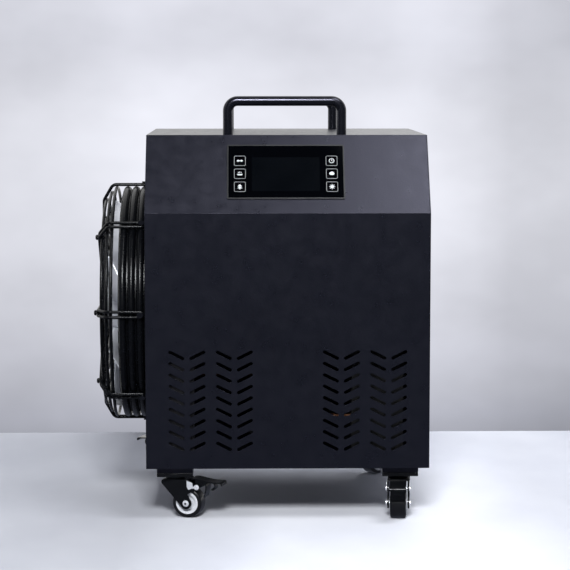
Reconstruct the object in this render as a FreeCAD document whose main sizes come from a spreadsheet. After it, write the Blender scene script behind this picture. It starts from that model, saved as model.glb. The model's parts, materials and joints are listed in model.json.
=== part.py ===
"""Ice bath chiller: a sheet-metal cabinet on four braked castors, with a condenser fan on its
left wall, a sloping control panel and two bar handles.

Cabinet frame, in millimetres: X to the right, Y from the front to the back, Z up. The sheet
"size" holds the driving dimensions, and every place is written from them. Heights are counted
from the underside of the cabinet, and the whole part is then lifted to stand on the floor.
"""
import FreeCAD, Part
import Sketcher
import os
from math import atan2, cos, hypot, pi, radians, sin, tan

from FreeCAD import Placement, Rotation, Vector

doc = FreeCAD.newDocument("chiller")
sheet = doc.addObject("Spreadsheet::Sheet", "size")

# Driving dimensions: alias, value, meaning
DIMENSIONS = [
    ("wide", 400, "cabinet width over the side panels"),
    ("deep", 400, "cabinet depth"),
    ("high", 468, "cabinet height without castors"),
    ("crease", 361, "height of the fold between the front and the control slope"),
    ("setback", 71, "how far the slope leans back at its top"),
    ("skin", 1.5, "sheet thickness of the panels"),
    ("flange", 14, "width of the side panels' inner flanges"),
    ("floor_drop", 75, "floor to the underside of the cabinet"),
    ("front_reach", 34.5, "how far the front right brake lever stands out in front"),
    ("rear_reach", 50, "how far the water fittings stand out behind"),
    ("slot_long", 24.4, "length of a vent slot"),
    ("slot_width", 4.6, "width of a vent slot"),
    ("slot_lean", 26.5, "lean of a vent slot in degrees"),
    ("slot_rise", 16.2, "pitch of the vent rows"),
    ("slot_rows", 9, "rows in each vent column"),
    ("slot_first", 32, "height of the lowest row's middle"),
    ("vent_middle", 108.5, "cabinet centre to the middle of a vent group"),
    ("chevron_pitch", 66.6, "distance between a group's two columns"),
    ("chevron_gap", 7.2, "gap between the two slots of a chevron"),
    ("bezel_wide", 166, "display bezel width"),
    ("bezel_tall", 88.6, "display bezel height along the slope"),
    ("bezel_proud", 1.8, "how far the bezel stands out"),
    ("bezel_rim", 2, "width of the bezel's rim round the glass"),
    ("bezel_corner", 3, "outer corner radius of the bezel"),
    ("bezel_top", 17.2, "bezel top edge from the top of the slope"),
    ("bezel_side", -2.2, "cabinet centre to the display's middle"),
    ("glass_thick", 1.3, "display glass thickness"),
    ("glass_play", 0.2, "play between the glass and its rim"),
    ("board_thick", 12, "control board with its display module"),
    ("handle_wide", 176, "handle width outside"),
    ("handle_rise", 55, "front handle height above the top"),
    ("handle_low", 51.5, "rear handle height above the top"),
    ("handle_side", -3, "cabinet centre to the handles' middle"),
    ("handle_bar", 14, "handle bar diameter"),
    ("handle_bend", 14, "bend radius at the handle's centre line"),
    ("handle_front", 80, "front handle from the cabinet front"),
    ("handle_rear", 379, "rear handle from the cabinet front"),
    ("fan_deep", 200, "fan axis from the cabinet front"),
    ("fan_height", 216, "fan axis above the underside"),
    ("duct_inner", 161, "inner radius of the fan shroud"),
    ("duct_rib", 172, "outer radius over the shroud's ribs"),
    ("duct_long", 40.5, "length of the shroud"),
    ("rib_pitch", 12.4, "distance between shroud ribs"),
    ("rib_count", 3, "ribs round the shroud"),
    ("wire", 4.6, "guard wire across flats"),
    ("guard_wall", 56, "length of the guard's straight side"),
    ("guard_reach", 71.5, "wall to the guard's front wires"),
    ("guard_shoulder", 152, "radius where the guard's front begins"),
    ("guard_pair", 7.6, "distance between the two legs of a guard wire"),
    ("ring_step", 26, "radial step between the guard's front rings"),
    ("ring_count", 5, "rings on the guard's front"),
    ("bolt_reach", 75.2, "wall to the top of the guard bolts"),
    ("blade_count", 7, "fan blades"),
    ("blade_tip", 156, "blade tip radius"),
    ("blade_thick", 1.6, "blade thickness"),
    ("hub_radius", 50, "fan rotor radius"),
    ("hub_long", 44, "fan rotor length"),
    ("castor_side", 160, "cabinet centre to a kingpin, sideways"),
    ("castor_front", 39, "cabinet front to the front kingpins"),
    ("castor_rear", 361, "cabinet front to the rear kingpins"),
    ("pad_size", 51, "castor pad and plate side"),
    ("pad_thick", 9, "castor pad thickness"),
    ("plate_thick", 5.5, "castor top plate thickness"),
    ("race_radius", 14, "swivel race radius"),
    ("race_thick", 5, "swivel race height"),
    ("trail", 20.5, "kingpin to axle, sideways"),
    ("wheel_radius", 21.5, "castor wheel radius"),
    ("wheel_wide", 25, "castor wheel width"),
    ("rim_radius", 16.5, "wheel rim radius under the tyre"),
    ("cheek_gap", 0.8, "play between wheel and fork cheek"),
    ("cheek_thick", 2.4, "fork cheek thickness"),
    ("axle_radius", 3, "castor axle radius"),
    ("axle_play", 0.05, "running clearance round the axle"),
    ("lobe", 8.2, "radius of the fork's end round the axle"),
    ("pivot_radius", 2, "brake lever pivot radius"),
    ("pedal_wide", 24, "brake lever width"),
    ("pedal_thick", 2.2, "brake lever sheet thickness"),
    ("pipe_bore", 19, "water fitting bore"),
    ("pipe_wall", 3, "water fitting wall"),
    ("cord_thick", 7, "power cord diameter"),
    ("board_play", 0.5, "play round the board in the panel's window"),
    ("duct_wall", 2, "sheet thickness of the shroud"),
    ("duct_edge", 9, "flange of the shroud beyond its ribs"),
    ("rib_first", 9, "wall to the first rib's middle"),
    ("rib_round", 5.3, "radius of a shroud rib's crown"),
    ("guard_play", 0.3, "gap between the guard and the shroud"),
    ("guard_hub", 38, "radius where the guard's arms end"),
    ("guard_grip", 8, "how far the hub plate reaches under the arms"),
    ("guard_bend", 9, "bend radius of the guard wires"),
    ("hub_plate", 2.5, "thickness of the guard's hub plate"),
    ("side_ring", 50, "wall to the guard's side ring"),
    ("corner_ring", 57, "wall to the ring inside the guard's corner"),
    ("corner_inset", 7, "how far the corner ring is smaller than the side ring"),
    ("arm_count", 8, "bent wires of the guard"),
    ("bolt_head", 4.4, "head radius of the guard's screws"),
    ("bolt_shank", 1.1, "shank radius of the guard and panel screws"),
    ("bolt_tail", 6, "guard bolt length behind the wires"),
    ("screw_tall", 2.4, "head height of the guard's wall screws"),
    ("shaft_radius", 5, "fan shaft radius"),
    ("rotor_low", 14, "wall to the rotor's closed end"),
    ("rotor_wall", 3, "rotor wall thickness"),
    ("rotor_gap", 1, "air gap in the motor"),
    ("motor_base", 3, "thickness of the motor's base"),
    ("blade_root", 46, "angle a blade takes at the rotor"),
    ("blade_span", 44, "angle a blade takes at its tip"),
    ("blade_sweep", 24, "how far the tip leads the root in degrees"),
    ("blade_low", 14, "wall to a blade's back edge"),
    ("blade_rise", 40, "height of a blade along the axis"),
    ("blade_bow", 3, "bow of a blade"),
    ("kingpin", 5, "kingpin radius"),
    ("pin_play", 1, "gap above the kingpin"),
    ("axle_head", 4.6, "head and nut radius of the axle bolt"),
    ("pivot_head", 3.2, "head radius of the brake pivot"),
    ("head_thick", 2.4, "head and nut thickness"),
    ("pivot_ahead", 16, "axle to the brake pivot, sideways"),
    ("pivot_above", 24, "axle to the brake pivot, upward"),
    ("pivot_lobe", 4.2, "radius of the fork round the brake pivot"),
    ("cheek_back", 2, "cheek's rear edge behind the axle"),
    ("nose", 4.3, "radius of the fork's nose"),
    ("hub_boss", 7.6, "wheel hub radius"),
    ("web_thick", 6, "wheel web thickness"),
    ("rim_wall", 4.4, "wheel rim wall"),
    ("rim_inset", 1.2, "rim edge from the wheel's face"),
    ("tyre_round", 2.6, "rounding of the tyre's edges"),
    ("tread_nose", 9.5, "brake pivot to the lever's inner end, sideways"),
    ("tread_crest", 35.6, "axle to the top of the brake tread"),
    ("tread_round", 1.6, "bevel of the tread's corners"),
    ("tread_flat", 31.2, "axle to the tread's outer stretch, upward"),
    ("tread_tip", 52.6, "axle to the tread's tip, sideways"),
    ("tread_lip", 4.6, "drop of the tread's folded lip"),
    ("shoe_heel", 30.4, "axle to the back of the brake shoe, sideways"),
    ("shoe_bend", 20, "axle to the bend of the brake shoe, upward"),
    ("shoe_low", 8.4, "axle to the lower end of the brake shoe, upward"),
    ("shoe_lean", 3.2, "how far the shoe's lower end leans to the tyre"),
    ("bush_wall", 1.8, "wall of the lever's bush"),
    ("screw_edge", 50, "front and rear edges to the wall screws"),
    ("screw_high", 183, "fan axis up to the upper wall screws"),
    ("screw_low", 194, "fan axis down to the lower wall screws"),
    ("screw_head", 4.8, "head radius of the wall screws"),
    ("copper", 9.5, "copper pipe diameter"),
    ("copper_bend", 22, "bend radius of the copper pipes"),
    ("copper_aside", 28, "discharge port from the compressor's middle"),
    ("copper_high", 330, "height of the discharge pipe"),
    ("copper_low", 120, "height of the liquid pipe"),
    ("copper_return", 250, "height of the suction pipe"),
    ("hose", 24, "water hose diameter"),
    ("hose_bend", 40, "bend radius of the water hoses"),
    ("port_edge", 85, "right side to the water fittings"),
    ("port_low", 70, "height of the water inlet"),
    ("port_pitch", 62, "inlet to outlet, upward"),
    ("port_rim", 5, "rim and thickness of a water fitting's flange"),
    ("port_tail", 22, "how far a water fitting reaches inside"),
    ("gland_side", 40, "cabinet centre to the cord gland"),
    ("gland_drop", 76, "top edge down to the cord gland"),
    ("gland_radius", 10, "cord gland radius"),
    ("gland_step", 7, "length of the gland's nut"),
    ("gland_long", 24, "cord gland length"),
    ("shell_x", -20, "compressor to the cabinet centre"),
    ("shell_y", 270, "compressor from the front"),
    ("shell_radius", 62, "compressor radius"),
    ("shell_tall", 165, "compressor height"),
    ("shell_dome", 22, "height of the compressor's domed ends"),
    ("shell_foot", 136, "compressor foot side"),
    ("foot_plate", 4, "compressor foot thickness"),
    ("rubber_radius", 10, "compressor rubber foot radius"),
    ("rubber_tall", 14, "compressor rubber foot height"),
    ("core_thick", 42, "condenser core thickness"),
    ("core_deep", 316, "condenser core width"),
    ("core_tall", 380, "condenser core height"),
    ("core_gap", 3, "side flange to the condenser"),
    ("tube_plate", 2, "condenser tube plate thickness"),
    ("pack_wide", 74, "heat exchanger width"),
    ("pack_deep", 60, "heat exchanger depth"),
    ("pack_tall", 290, "heat exchanger height"),
    ("pack_edge", 70, "right side to the heat exchanger's middle"),
    ("pack_y", 90, "heat exchanger from the front"),
    ("volute_radius", 46, "pump volute radius"),
    ("volute_tall", 38, "pump volute height"),
    ("can_radius", 34, "pump motor radius"),
    ("pump_tall", 118, "pump height"),
    ("pump_y", 268, "pump from the front"),
]
for row, (alias, number, meaning) in enumerate(DIMENSIONS, start=1):
    sheet.set(f"A{row}", meaning)
    sheet.set(f"B{row}", str(number))
    sheet.setAlias(f"B{row}", alias)
doc.recompute()


def val(expression):
    """The present value of an expression over the sheet, as a plain number."""
    found = sheet.evalExpression(expression)
    return float(getattr(found, "Value", found))


def size(alias):
    """A driving dimension as a plain number."""
    return float(sheet.get(alias))


# Places that several pieces share
CENTRE_X = "size.bolt_reach / 2"
CENTRE_Y = "-(size.deep + size.rear_reach - size.front_reach) / 2"
LIFT = "size.floor_drop"
SLOPE = "atan((size.high - size.crease) / size.setback)"
SLOPE_LONG = "sqrt(size.setback ^ 2 + (size.high - size.crease) ^ 2)"
INSIDE = "(size.wide / 2 - size.skin)"
LEGS = "(size.handle_wide - size.handle_bar)"
AXLE_DROP = "(size.floor_drop - size.wheel_radius)"
FORK_TOP = "(size.pad_thick + size.plate_thick + size.race_thick)"
CHEEK_IN = "(size.wheel_wide / 2 + size.cheek_gap)"
CHEEK_OUT = f"({CHEEK_IN} + size.cheek_thick)"

nodes = []


def stand(item, label, x="0", y="0", z="0", turn=None):
    """Name a finished piece and put it at its place, written in the cabinet frame."""
    item.Label = label
    if turn is not None:
        item.Placement = Placement(Vector(), turn)
    item.setExpression(".Placement.Base.x", f"{CENTRE_X} + ({x})")
    item.setExpression(".Placement.Base.y", f"{CENTRE_Y} + ({y})")
    item.setExpression(".Placement.Base.z", f"{LIFT} + ({z})")
    nodes.append(item)
    return item


def moved(x, y, z, turn=None):
    """The placement of a piece that takes its shape from code."""
    base = Vector(val(f"{CENTRE_X} + ({x})"), val(f"{CENTRE_Y} + ({y})"), val(f"{LIFT} + ({z})"))
    return Placement(base, turn or Rotation())


def feature(label, shape, x="0", y="0", z="0", turn=None):
    """A piece whose form comes from code: its shape first, then its place."""
    item = doc.addObject("Part::Feature", label)
    item.Shape = shape
    item.Placement = moved(x, y, z, turn)
    item.Label = label
    nodes.append(item)
    return item


def body(name):
    return doc.addObject("PartDesign::Body", name)


def plane(owner, role):
    return next(p for p in owner.Origin.OriginFeatures if p.Role == role)


def sketch(owner, name, role="XY_Plane", height=None, tilt=None, base=None):
    """An empty sketch on one of the body's own planes, lifted or tilted where asked."""
    made = owner.newObject("Sketcher::SketchObject", name)
    made.AttachmentSupport = [(plane(owner, role), "")]
    made.MapMode = "FlatFace"
    if height is not None:
        made.setExpression(".AttachmentOffset.Base.z", height)
    if tilt is not None:
        made.AttachmentOffset = Placement(Vector(), Rotation(Vector(1, 0, 0), val(tilt)))
        made.setExpression(".AttachmentOffset.Rotation.Angle", tilt)
        made.setExpression(".AttachmentOffset.Base.y", base)
    return made


def outline(made, corners):
    """A closed outline whose corners are dimensioned from the sheet.

    A corner with a third item starts a half round, on the right of the way up to the next corner,
    with its middle at that distance along X.
    """
    points = [Vector(val(corner[0]), val(corner[1]), 0) for corner in corners]
    first = made.GeometryCount
    count = len(points)
    for i, corner in enumerate(corners):
        here, there = points[i], points[(i + 1) % count]
        if len(corner) == 3:
            middle, across = (here + there) / 2, here - there
            heading = atan2(across.y, across.x)
            crown = Part.Circle(middle, Vector(0, 0, 1), across.Length / 2)
            made.addGeometry(Part.ArcOfCircle(crown, heading, heading + pi), False)
        else:
            made.addGeometry(Part.LineSegment(here, there), False)
    for i in range(count):
        after = first + (i + 1) % count
        made.addConstraint(Sketcher.Constraint("Coincident", first + i, 2, after, 1))
    for i, corner in enumerate(corners):
        for kind, text, number in zip(("DistanceX", "DistanceY"), corner, points[i]):
            index = made.addConstraint(Sketcher.Constraint(kind, -1, 1, first + i, 1, number))
            made.setExpression(f"Constraints[{index}]", text)
        if len(corner) == 3:
            index = made.addConstraint(Sketcher.Constraint("DistanceX", -1, 1, first + i, 3, val(corner[2])))
            made.setExpression(f"Constraints[{index}]", corner[2])
    return made


def oblong(made, left, low, right, top):
    """A rectangle between two dimensioned corners."""
    return outline(made, [(left, low), (right, low), (right, top), (left, top)])


def disc(made, x, y, radius):
    """A dimensioned circle."""
    circle = Part.Circle(Vector(val(x), val(y), 0), Vector(0, 0, 1), val(radius))
    index = made.addGeometry(circle, False)
    for kind, text in (("DistanceX", x), ("DistanceY", y)):
        spot = made.addConstraint(Sketcher.Constraint(kind, -1, 1, index, 3, val(text)))
        made.setExpression(f"Constraints[{spot}]", text)
    spot = made.addConstraint(Sketcher.Constraint("Radius", index, val(radius)))
    made.setExpression(f"Constraints[{spot}]", radius)
    return made


def pad(owner, made, length, both=False, back=False):
    grown = owner.newObject("PartDesign::Pad", "Pad")
    grown.Profile = made
    grown.setExpression("Length", length)
    grown.Midplane = both
    grown.Reversed = back
    owner.Tip = grown
    return grown


def pocket(owner, made, length, back=False, both=False):
    cut = owner.newObject("PartDesign::Pocket", "Pocket")
    cut.Profile = made
    cut.setExpression("Length", length)
    cut.Reversed = back
    cut.Midplane = both
    owner.Tip = cut
    return cut


def turned(owner, made):
    """A piece turned on a lathe about the upright axis of its sketch."""
    spun = owner.newObject("PartDesign::Revolution", "Revolution")
    spun.Profile = made
    spun.ReferenceAxis = (made, ["V_Axis"])
    spun.Angle = 360
    owner.Tip = spun
    return spun


def cylinder(name, radius, height, x="0", y="0", z="0"):
    made = doc.addObject("Part::Cylinder", name)
    made.setExpression("Radius", radius)
    made.setExpression("Height", height)
    made.setExpression(".Placement.Base.x", x)
    made.setExpression(".Placement.Base.y", y)
    made.setExpression(".Placement.Base.z", z)
    return made


def block(name, long, deep, tall, x="0", y="0", z="0"):
    """A box centred on its place in plan, standing on its height."""
    made = doc.addObject("Part::Box", name)
    made.setExpression("Length", long)
    made.setExpression("Width", deep)
    made.setExpression("Height", tall)
    made.setExpression(".Placement.Base.x", f"({x}) - ({long}) / 2")
    made.setExpression(".Placement.Base.y", f"({y}) - ({deep}) / 2")
    made.setExpression(".Placement.Base.z", z)
    return made


def fused(name, pieces):
    made = doc.addObject("Part::MultiFuse", name)
    made.Shapes = pieces
    return made


def less(name, whole, tool):
    made = doc.addObject("Part::Cut", name)
    made.Base = whole
    made.Tool = tool
    return made


def together(name, pieces):
    """Like fasteners or separate parts of one kind, kept as a group of solids."""
    made = doc.addObject("Part::Compound", name)
    made.Links = pieces
    return made


UPRIGHT = Rotation()
OUT_LEFT = Rotation(Vector(0, 1, 0), -90)
OUT_BACK = Rotation(Vector(1, 0, 0), -90)


# Cabinet: one folded front, top, rear, two flanged side panels and a tray for a base

def base_pan():
    """A shallow tray that carries everything; its rim stands inside the panels."""
    owner = body("base_pan")
    plan = oblong(sketch(owner, "plan"), f"-{INSIDE}", "size.skin", INSIDE, "size.deep - size.skin")
    pad(owner, plan, "size.flange")
    inner = oblong(
        sketch(owner, "inner", height="size.skin"),
        f"-{INSIDE} + size.skin", "2 * size.skin",
        f"{INSIDE} - size.skin", "size.deep - 2 * size.skin",
    )
    pocket(owner, inner, "size.flange", back=True)
    return stand(owner, "base_pan")


def inset(corner, inward):
    """A corner of the side profile, moved inward from the outline by a sheet or two."""
    lean = "atan(size.setback / (size.high - size.crease))"
    return {
        "crease": (inward, f"size.crease - {inward} * tan({lean} / 2)"),
        "brow": (f"size.setback + {inward} * tan(45deg - {lean} / 2)", f"size.high - {inward}"),
        "rear": (f"size.deep - {inward}", f"size.high - {inward}"),
    }[corner]


LEAN = "atan(size.setback / (size.high - size.crease))"
BROW_UNDER = (f"size.setback - size.skin * tan({LEAN})", "size.high - size.skin")
FLANGE_FOOT = "(size.flange + size.skin)"
GLAND_HEIGHT = "(size.high - size.gland_drop)"
WALL_SCREWS = [
    ("size.screw_edge", "size.fan_height - size.screw_low"),
    ("size.screw_edge + size.setback", "size.fan_height + size.screw_high"),
    ("size.deep - size.screw_edge", "size.fan_height - size.screw_low"),
    ("size.deep - size.screw_edge", "size.fan_height + size.screw_high"),
]
REAR_SCREWS = [
    (f"{side} * ({INSIDE} - size.flange / 2)", height)
    for side in (-1, 1) for height in ("2 * size.flange", "size.high / 2", "size.high - 2 * size.flange")
]


def side_panel(label, side):
    """A five-cornered side with flanges that the front, top and rear sheets lie on."""
    owner = body(label)
    face = outline(
        sketch(owner, "face", "YZ_Plane"),
        [("0", "0"), ("0", "size.crease"), ("size.setback", "size.high"),
         ("size.deep", "size.high"), ("size.deep", "0")],
    )
    pad(owner, face, "size.skin", back=side > 0)
    outer, inner = "size.skin", "2 * size.skin"
    rim = outline(
        sketch(owner, "rim", "YZ_Plane"),
        [(outer, FLANGE_FOOT), inset("crease", outer), inset("brow", outer),
         inset("rear", outer), (f"size.deep - {outer}", FLANGE_FOOT),
         (f"size.deep - {inner}", FLANGE_FOOT), inset("rear", inner),
         inset("brow", inner), inset("crease", inner), (inner, FLANGE_FOOT)],
    )
    pad(owner, rim, "size.flange", back=side > 0)
    if side < 0:
        openings = sketch(owner, "openings", "YZ_Plane")
        disc(openings, "size.fan_deep", "size.fan_height", "size.duct_inner")
        for y, z in WALL_SCREWS:
            disc(openings, y, z, "size.bolt_shank")
        pocket(owner, openings, "2 * size.skin", back=True)
    return stand(owner, label, x=f"{side} * size.wide / 2")


def front_panel():
    """One sheet folded at the crease, with the display's opening and the vent slots."""
    owner = body("front_panel")
    fold = outline(
        sketch(owner, "fold", "YZ_Plane"),
        [("0", "0"), ("0", "size.crease"), BROW_UNDER, inset("brow", "size.skin"),
         inset("crease", "size.skin"), ("size.skin", "0")],
    )
    pad(owner, fold, f"2 * {INSIDE}", both=True)
    window = sketch(owner, "window", "XZ_Plane", tilt=f"-{LEAN}", base="size.crease")
    middle = f"({SLOPE_LONG} - size.bezel_top - size.bezel_tall / 2)"
    across, up = "(size.bezel_wide / 2 - size.flange)", "(size.bezel_tall / 2 - size.flange)"
    oblong(
        window,
        f"size.bezel_side - {across}", f"{middle} - {up}", f"size.bezel_side + {across}", f"{middle} + {up}",
    )
    pocket(owner, window, "3 * size.skin")

    row = sketch(owner, "vents", "XZ_Plane")
    across = "((size.slot_long - size.slot_width) / 2 * cos(size.slot_lean * 1deg))"
    up = "((size.slot_long - size.slot_width) / 2 * sin(size.slot_lean * 1deg))"
    reach = f"({across} + size.slot_width / 2)"
    for group in (-1, 1):
        for column in (-1, 1):
            middle = f"({group} * size.vent_middle + {column} * size.chevron_pitch / 2)"
            for arm in (-1, 1):
                x = f"({middle} + {arm} * (size.chevron_gap / 2 + {reach}))"
                slot(row, (f"{x} - {arm} * {across}", f"size.slot_first - {up}"),
                     (f"{x} + {arm} * {across}", f"size.slot_first + {up}"), "size.slot_width / 2")
    lowest = pocket(owner, row, "2 * size.skin")
    rows = owner.newObject("PartDesign::LinearPattern", "rows")
    rows.Originals = [lowest]
    rows.Direction = (row, ["V_Axis"])
    rows.setExpression("Length", "size.slot_rise * (size.slot_rows - 1)")
    rows.setExpression("Occurrences", "size.slot_rows")
    owner.Tip = rows
    return stand(owner, "front_panel")


def slot(made, start, end, radius):
    """A round-ended slot between two dimensioned centres."""
    a = Vector(val(start[0]), val(start[1]), 0)
    b = Vector(val(end[0]), val(end[1]), 0)
    r = val(radius)
    heading = atan2(b.y - a.y, b.x - a.x)
    side = Vector(-sin(heading), cos(heading), 0) * r
    up = Vector(0, 0, 1)
    left, right = Part.Circle(a, up, r), Part.Circle(b, up, r)
    near = made.addGeometry(Part.ArcOfCircle(left, heading + pi / 2, heading + 3 * pi / 2), False)
    far = made.addGeometry(Part.ArcOfCircle(right, heading - pi / 2, heading + pi / 2), False)
    low = made.addGeometry(Part.LineSegment(a - side, b - side), False)
    top = made.addGeometry(Part.LineSegment(b + side, a + side), False)
    for first, second in ((near, low), (low, far), (far, top), (top, near)):
        made.addConstraint(Sketcher.Constraint("Tangent", first, 2, second, 1))
    for arc, centre in ((near, start), (far, end)):
        for kind, text in (("DistanceX", centre[0]), ("DistanceY", centre[1])):
            index = made.addConstraint(Sketcher.Constraint(kind, -1, 1, arc, 3, val(text)))
            made.setExpression(f"Constraints[{index}]", text)
    index = made.addConstraint(Sketcher.Constraint("Radius", near, r))
    made.setExpression(f"Constraints[{index}]", radius)


def top_panel():
    owner = body("top_panel")
    lid = outline(
        sketch(owner, "lid", "YZ_Plane"),
        [BROW_UNDER, ("size.setback", "size.high"), ("size.deep", "size.high"),
         ("size.deep", "size.high - size.skin")],
    )
    pad(owner, lid, f"2 * {INSIDE}", both=True)
    holes = sketch(owner, "holes", height="size.high")
    for side in (-1, 1):
        for depth in ("size.handle_front", "size.handle_rear"):
            disc(holes, f"size.handle_side + {side} * {LEGS} / 2", depth, "size.axle_radius")
    pocket(owner, holes, "4 * size.skin")
    return stand(owner, "top_panel")


def rear_panel():
    """The plain rear sheet with the holes that its fittings pass through."""
    owner = body("rear_panel")
    face = oblong(sketch(owner, "face", "XZ_Plane"), f"-{INSIDE}", "0", INSIDE, "size.high - size.skin")
    pad(owner, face, "size.skin", back=True)
    holes = sketch(owner, "holes", "XZ_Plane")
    for height in PORTS.values():
        disc(holes, PORT_X, height, "size.pipe_bore / 2 + size.pipe_wall + size.guard_play")
    disc(holes, "size.gland_side", GLAND_HEIGHT, "size.cord_thick / 2 + size.guard_play")
    for x, z in REAR_SCREWS:
        disc(holes, x, z, "size.bolt_shank")
    pocket(owner, holes, "4 * size.skin", both=True)
    return stand(owner, "rear_panel", y="size.deep - size.skin")


def panel_screws():
    """Round-headed screws in the fan's wall and along the rear panel's edges."""
    screws = []
    for y, z in WALL_SCREWS:
        screw = round_head("wall_screw", "size.screw_head", "size.screw_tall", "size.bolt_shank", "size.skin")
        screw.Placement = Placement(Vector(), OUT_LEFT)
        screw.setExpression(".Placement.Base.x", "-size.wide / 2")
        screw.setExpression(".Placement.Base.y", y)
        screw.setExpression(".Placement.Base.z", z)
        screws.append(screw)
    for x, z in REAR_SCREWS:
        screw = round_head("rear_screw", "size.bolt_head", "size.screw_tall", "size.bolt_shank", "size.skin")
        screw.Placement = Placement(Vector(), OUT_BACK)
        screw.setExpression(".Placement.Base.x", x)
        screw.setExpression(".Placement.Base.y", "size.deep")
        screw.setExpression(".Placement.Base.z", z)
        screws.append(screw)
    stand(together("panel_screws", screws), "panel_screws")


def handle_screws():
    """Four screws under the top panel, one in each handle leg."""
    screws = []
    for side in (-1, 1):
        for depth in ("size.handle_front", "size.handle_rear"):
            screws.append(round_head(
                "handle_screw", "size.bolt_head + size.skin", "2 * size.skin", "size.axle_radius", "size.skin",
                f"size.handle_side + {side} * {LEGS} / 2", depth, "size.high - 3 * size.skin", False,
            ))
    stand(together("handle_screws", screws), "handle_screws")


# Handles, display and control board

def handle(label, depth, rise):
    """A round bar bent twice, standing on the top panel over its two screws."""
    owner = body(label)
    route = sketch(owner, "route", "XZ_Plane")
    half, crown, bend = f"({LEGS} / 2)", f"({rise} - size.handle_bar / 2)", "size.handle_bend"
    a, b, r = val(half), val(crown), val(bend)
    up = Vector(0, 0, 1)
    left = route.addGeometry(Part.LineSegment(Vector(-a, 0, 0), Vector(-a, b - r, 0)), False)
    west = route.addGeometry(Part.ArcOfCircle(Part.Circle(Vector(r - a, b - r, 0), up, r), pi / 2, pi), False)
    grip = route.addGeometry(Part.LineSegment(Vector(r - a, b, 0), Vector(a - r, b, 0)), False)
    east = route.addGeometry(Part.ArcOfCircle(Part.Circle(Vector(a - r, b - r, 0), up, r), 0, pi / 2), False)
    right = route.addGeometry(Part.LineSegment(Vector(a, b - r, 0), Vector(a, 0, 0)), False)
    joints = ((left, 2, west, 2), (west, 1, grip, 1), (grip, 2, east, 2), (east, 1, right, 1))
    for first, its, second, other in joints:
        route.addConstraint(Sketcher.Constraint("Tangent", first, its, second, other))
    for geometry, end, x, y in ((left, 1, f"-{half}", "0"), (right, 2, half, "0"), (grip, 1, None, crown)):
        if x is not None:
            index = route.addConstraint(Sketcher.Constraint("DistanceX", -1, 1, geometry, end, val(x)))
            route.setExpression(f"Constraints[{index}]", x)
        index = route.addConstraint(Sketcher.Constraint("DistanceY", -1, 1, geometry, end, val(y)))
        route.setExpression(f"Constraints[{index}]", y)
    for corner in (west, east):
        index = route.addConstraint(Sketcher.Constraint("Radius", corner, r))
        route.setExpression(f"Constraints[{index}]", bend)
    for leg in (left, right):
        route.addConstraint(Sketcher.Constraint("Vertical", leg))
    section = disc(sketch(owner, "section"), f"-{half}", "0", "size.handle_bar / 2")
    bar = owner.newObject("PartDesign::AdditivePipe", "bar")
    bar.Profile = section
    bar.Spine = (route, [])
    owner.Tip = bar
    return stand(owner, label, "size.handle_side", depth, "size.high")


def on_slope(item, label, middle_up, out="0"):
    """Stand a flat piece on the control slope, its middle a distance up from the crease."""
    item.Label = label
    item.Placement = Placement(Vector(), Rotation(Vector(1, 0, 0), val(SLOPE)))
    item.setExpression(".Placement.Rotation.Angle", SLOPE)
    along, off = f"({middle_up})", f"({out})"
    item.setExpression(".Placement.Base.x", f"{CENTRE_X} + size.bezel_side")
    item.setExpression(".Placement.Base.y", f"{CENTRE_Y} + {along} * sin({LEAN}) - {off} * cos({LEAN})")
    item.setExpression(
        ".Placement.Base.z", f"{LIFT} + size.crease + {along} * cos({LEAN}) + {off} * sin({LEAN})"
    )
    nodes.append(item)
    return item


DISPLAY_UP = f"({SLOPE_LONG} - size.bezel_top - size.bezel_tall / 2)"


def rounded_edges(owner, base, radius, wide, tall):
    """Round the four upright corners of a flat plate of this width and height."""
    doc.recompute()
    names = []
    for i, edge in enumerate(base.Shape.Edges, start=1):
        line = edge.Vertexes[-1].Point - edge.Vertexes[0].Point
        mid = edge.CenterOfMass
        if abs(line.z) > 0.1 and hypot(line.x, line.y) < 0.01:
            if abs(abs(mid.x) - val(wide) / 2) < 0.01 and abs(abs(mid.y) - val(tall) / 2) < 0.01:
                names.append(f"Edge{i}")
    softened = owner.newObject("PartDesign::Fillet", "corners")
    softened.Base = (base, names)
    softened.setExpression("Radius", radius)
    owner.Tip = softened
    return softened


def display():
    """A bezel with a recess for its glass, and the board that sits in the window behind."""
    owner = body("display_bezel")
    wide, tall = "size.bezel_wide", "size.bezel_tall"
    plan = oblong(sketch(owner, "plan"), f"-{wide} / 2", f"-{tall} / 2", f"{wide} / 2", f"{tall} / 2")
    plate = pad(owner, plan, "size.bezel_proud")
    rounded_edges(owner, plate, "size.bezel_corner", wide, tall)
    seat = sketch(owner, "seat", height="size.bezel_proud")
    rim = "size.bezel_rim"
    oblong(seat, f"{rim} - {wide} / 2", f"{rim} - {tall} / 2", f"{wide} / 2 - {rim}", f"{tall} / 2 - {rim}")
    pocket(owner, seat, "size.glass_thick")
    on_slope(owner, "display_bezel", DISPLAY_UP)

    pane = body("display_glass")
    inner = "(size.bezel_rim + size.glass_play)"
    plan = oblong(
        sketch(pane, "plan"),
        f"{inner} - {wide} / 2", f"{inner} - {tall} / 2", f"{wide} / 2 - {inner}", f"{tall} / 2 - {inner}",
    )
    pad(pane, plan, "size.glass_thick")
    on_slope(pane, "display_glass", DISPLAY_UP, "size.bezel_proud - size.glass_thick")

    board = body("control_board")
    margin = "(size.flange + size.board_play)"
    plan = oblong(
        sketch(board, "plan"),
        f"{margin} - {wide} / 2", f"{margin} - {tall} / 2",
        f"{wide} / 2 - {margin}", f"{tall} / 2 - {margin}",
    )
    pad(board, plan, "size.board_thick")
    on_slope(board, "control_board", DISPLAY_UP, "-size.board_thick")


# Fan: its own frame has Z out of the left wall and X up

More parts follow.
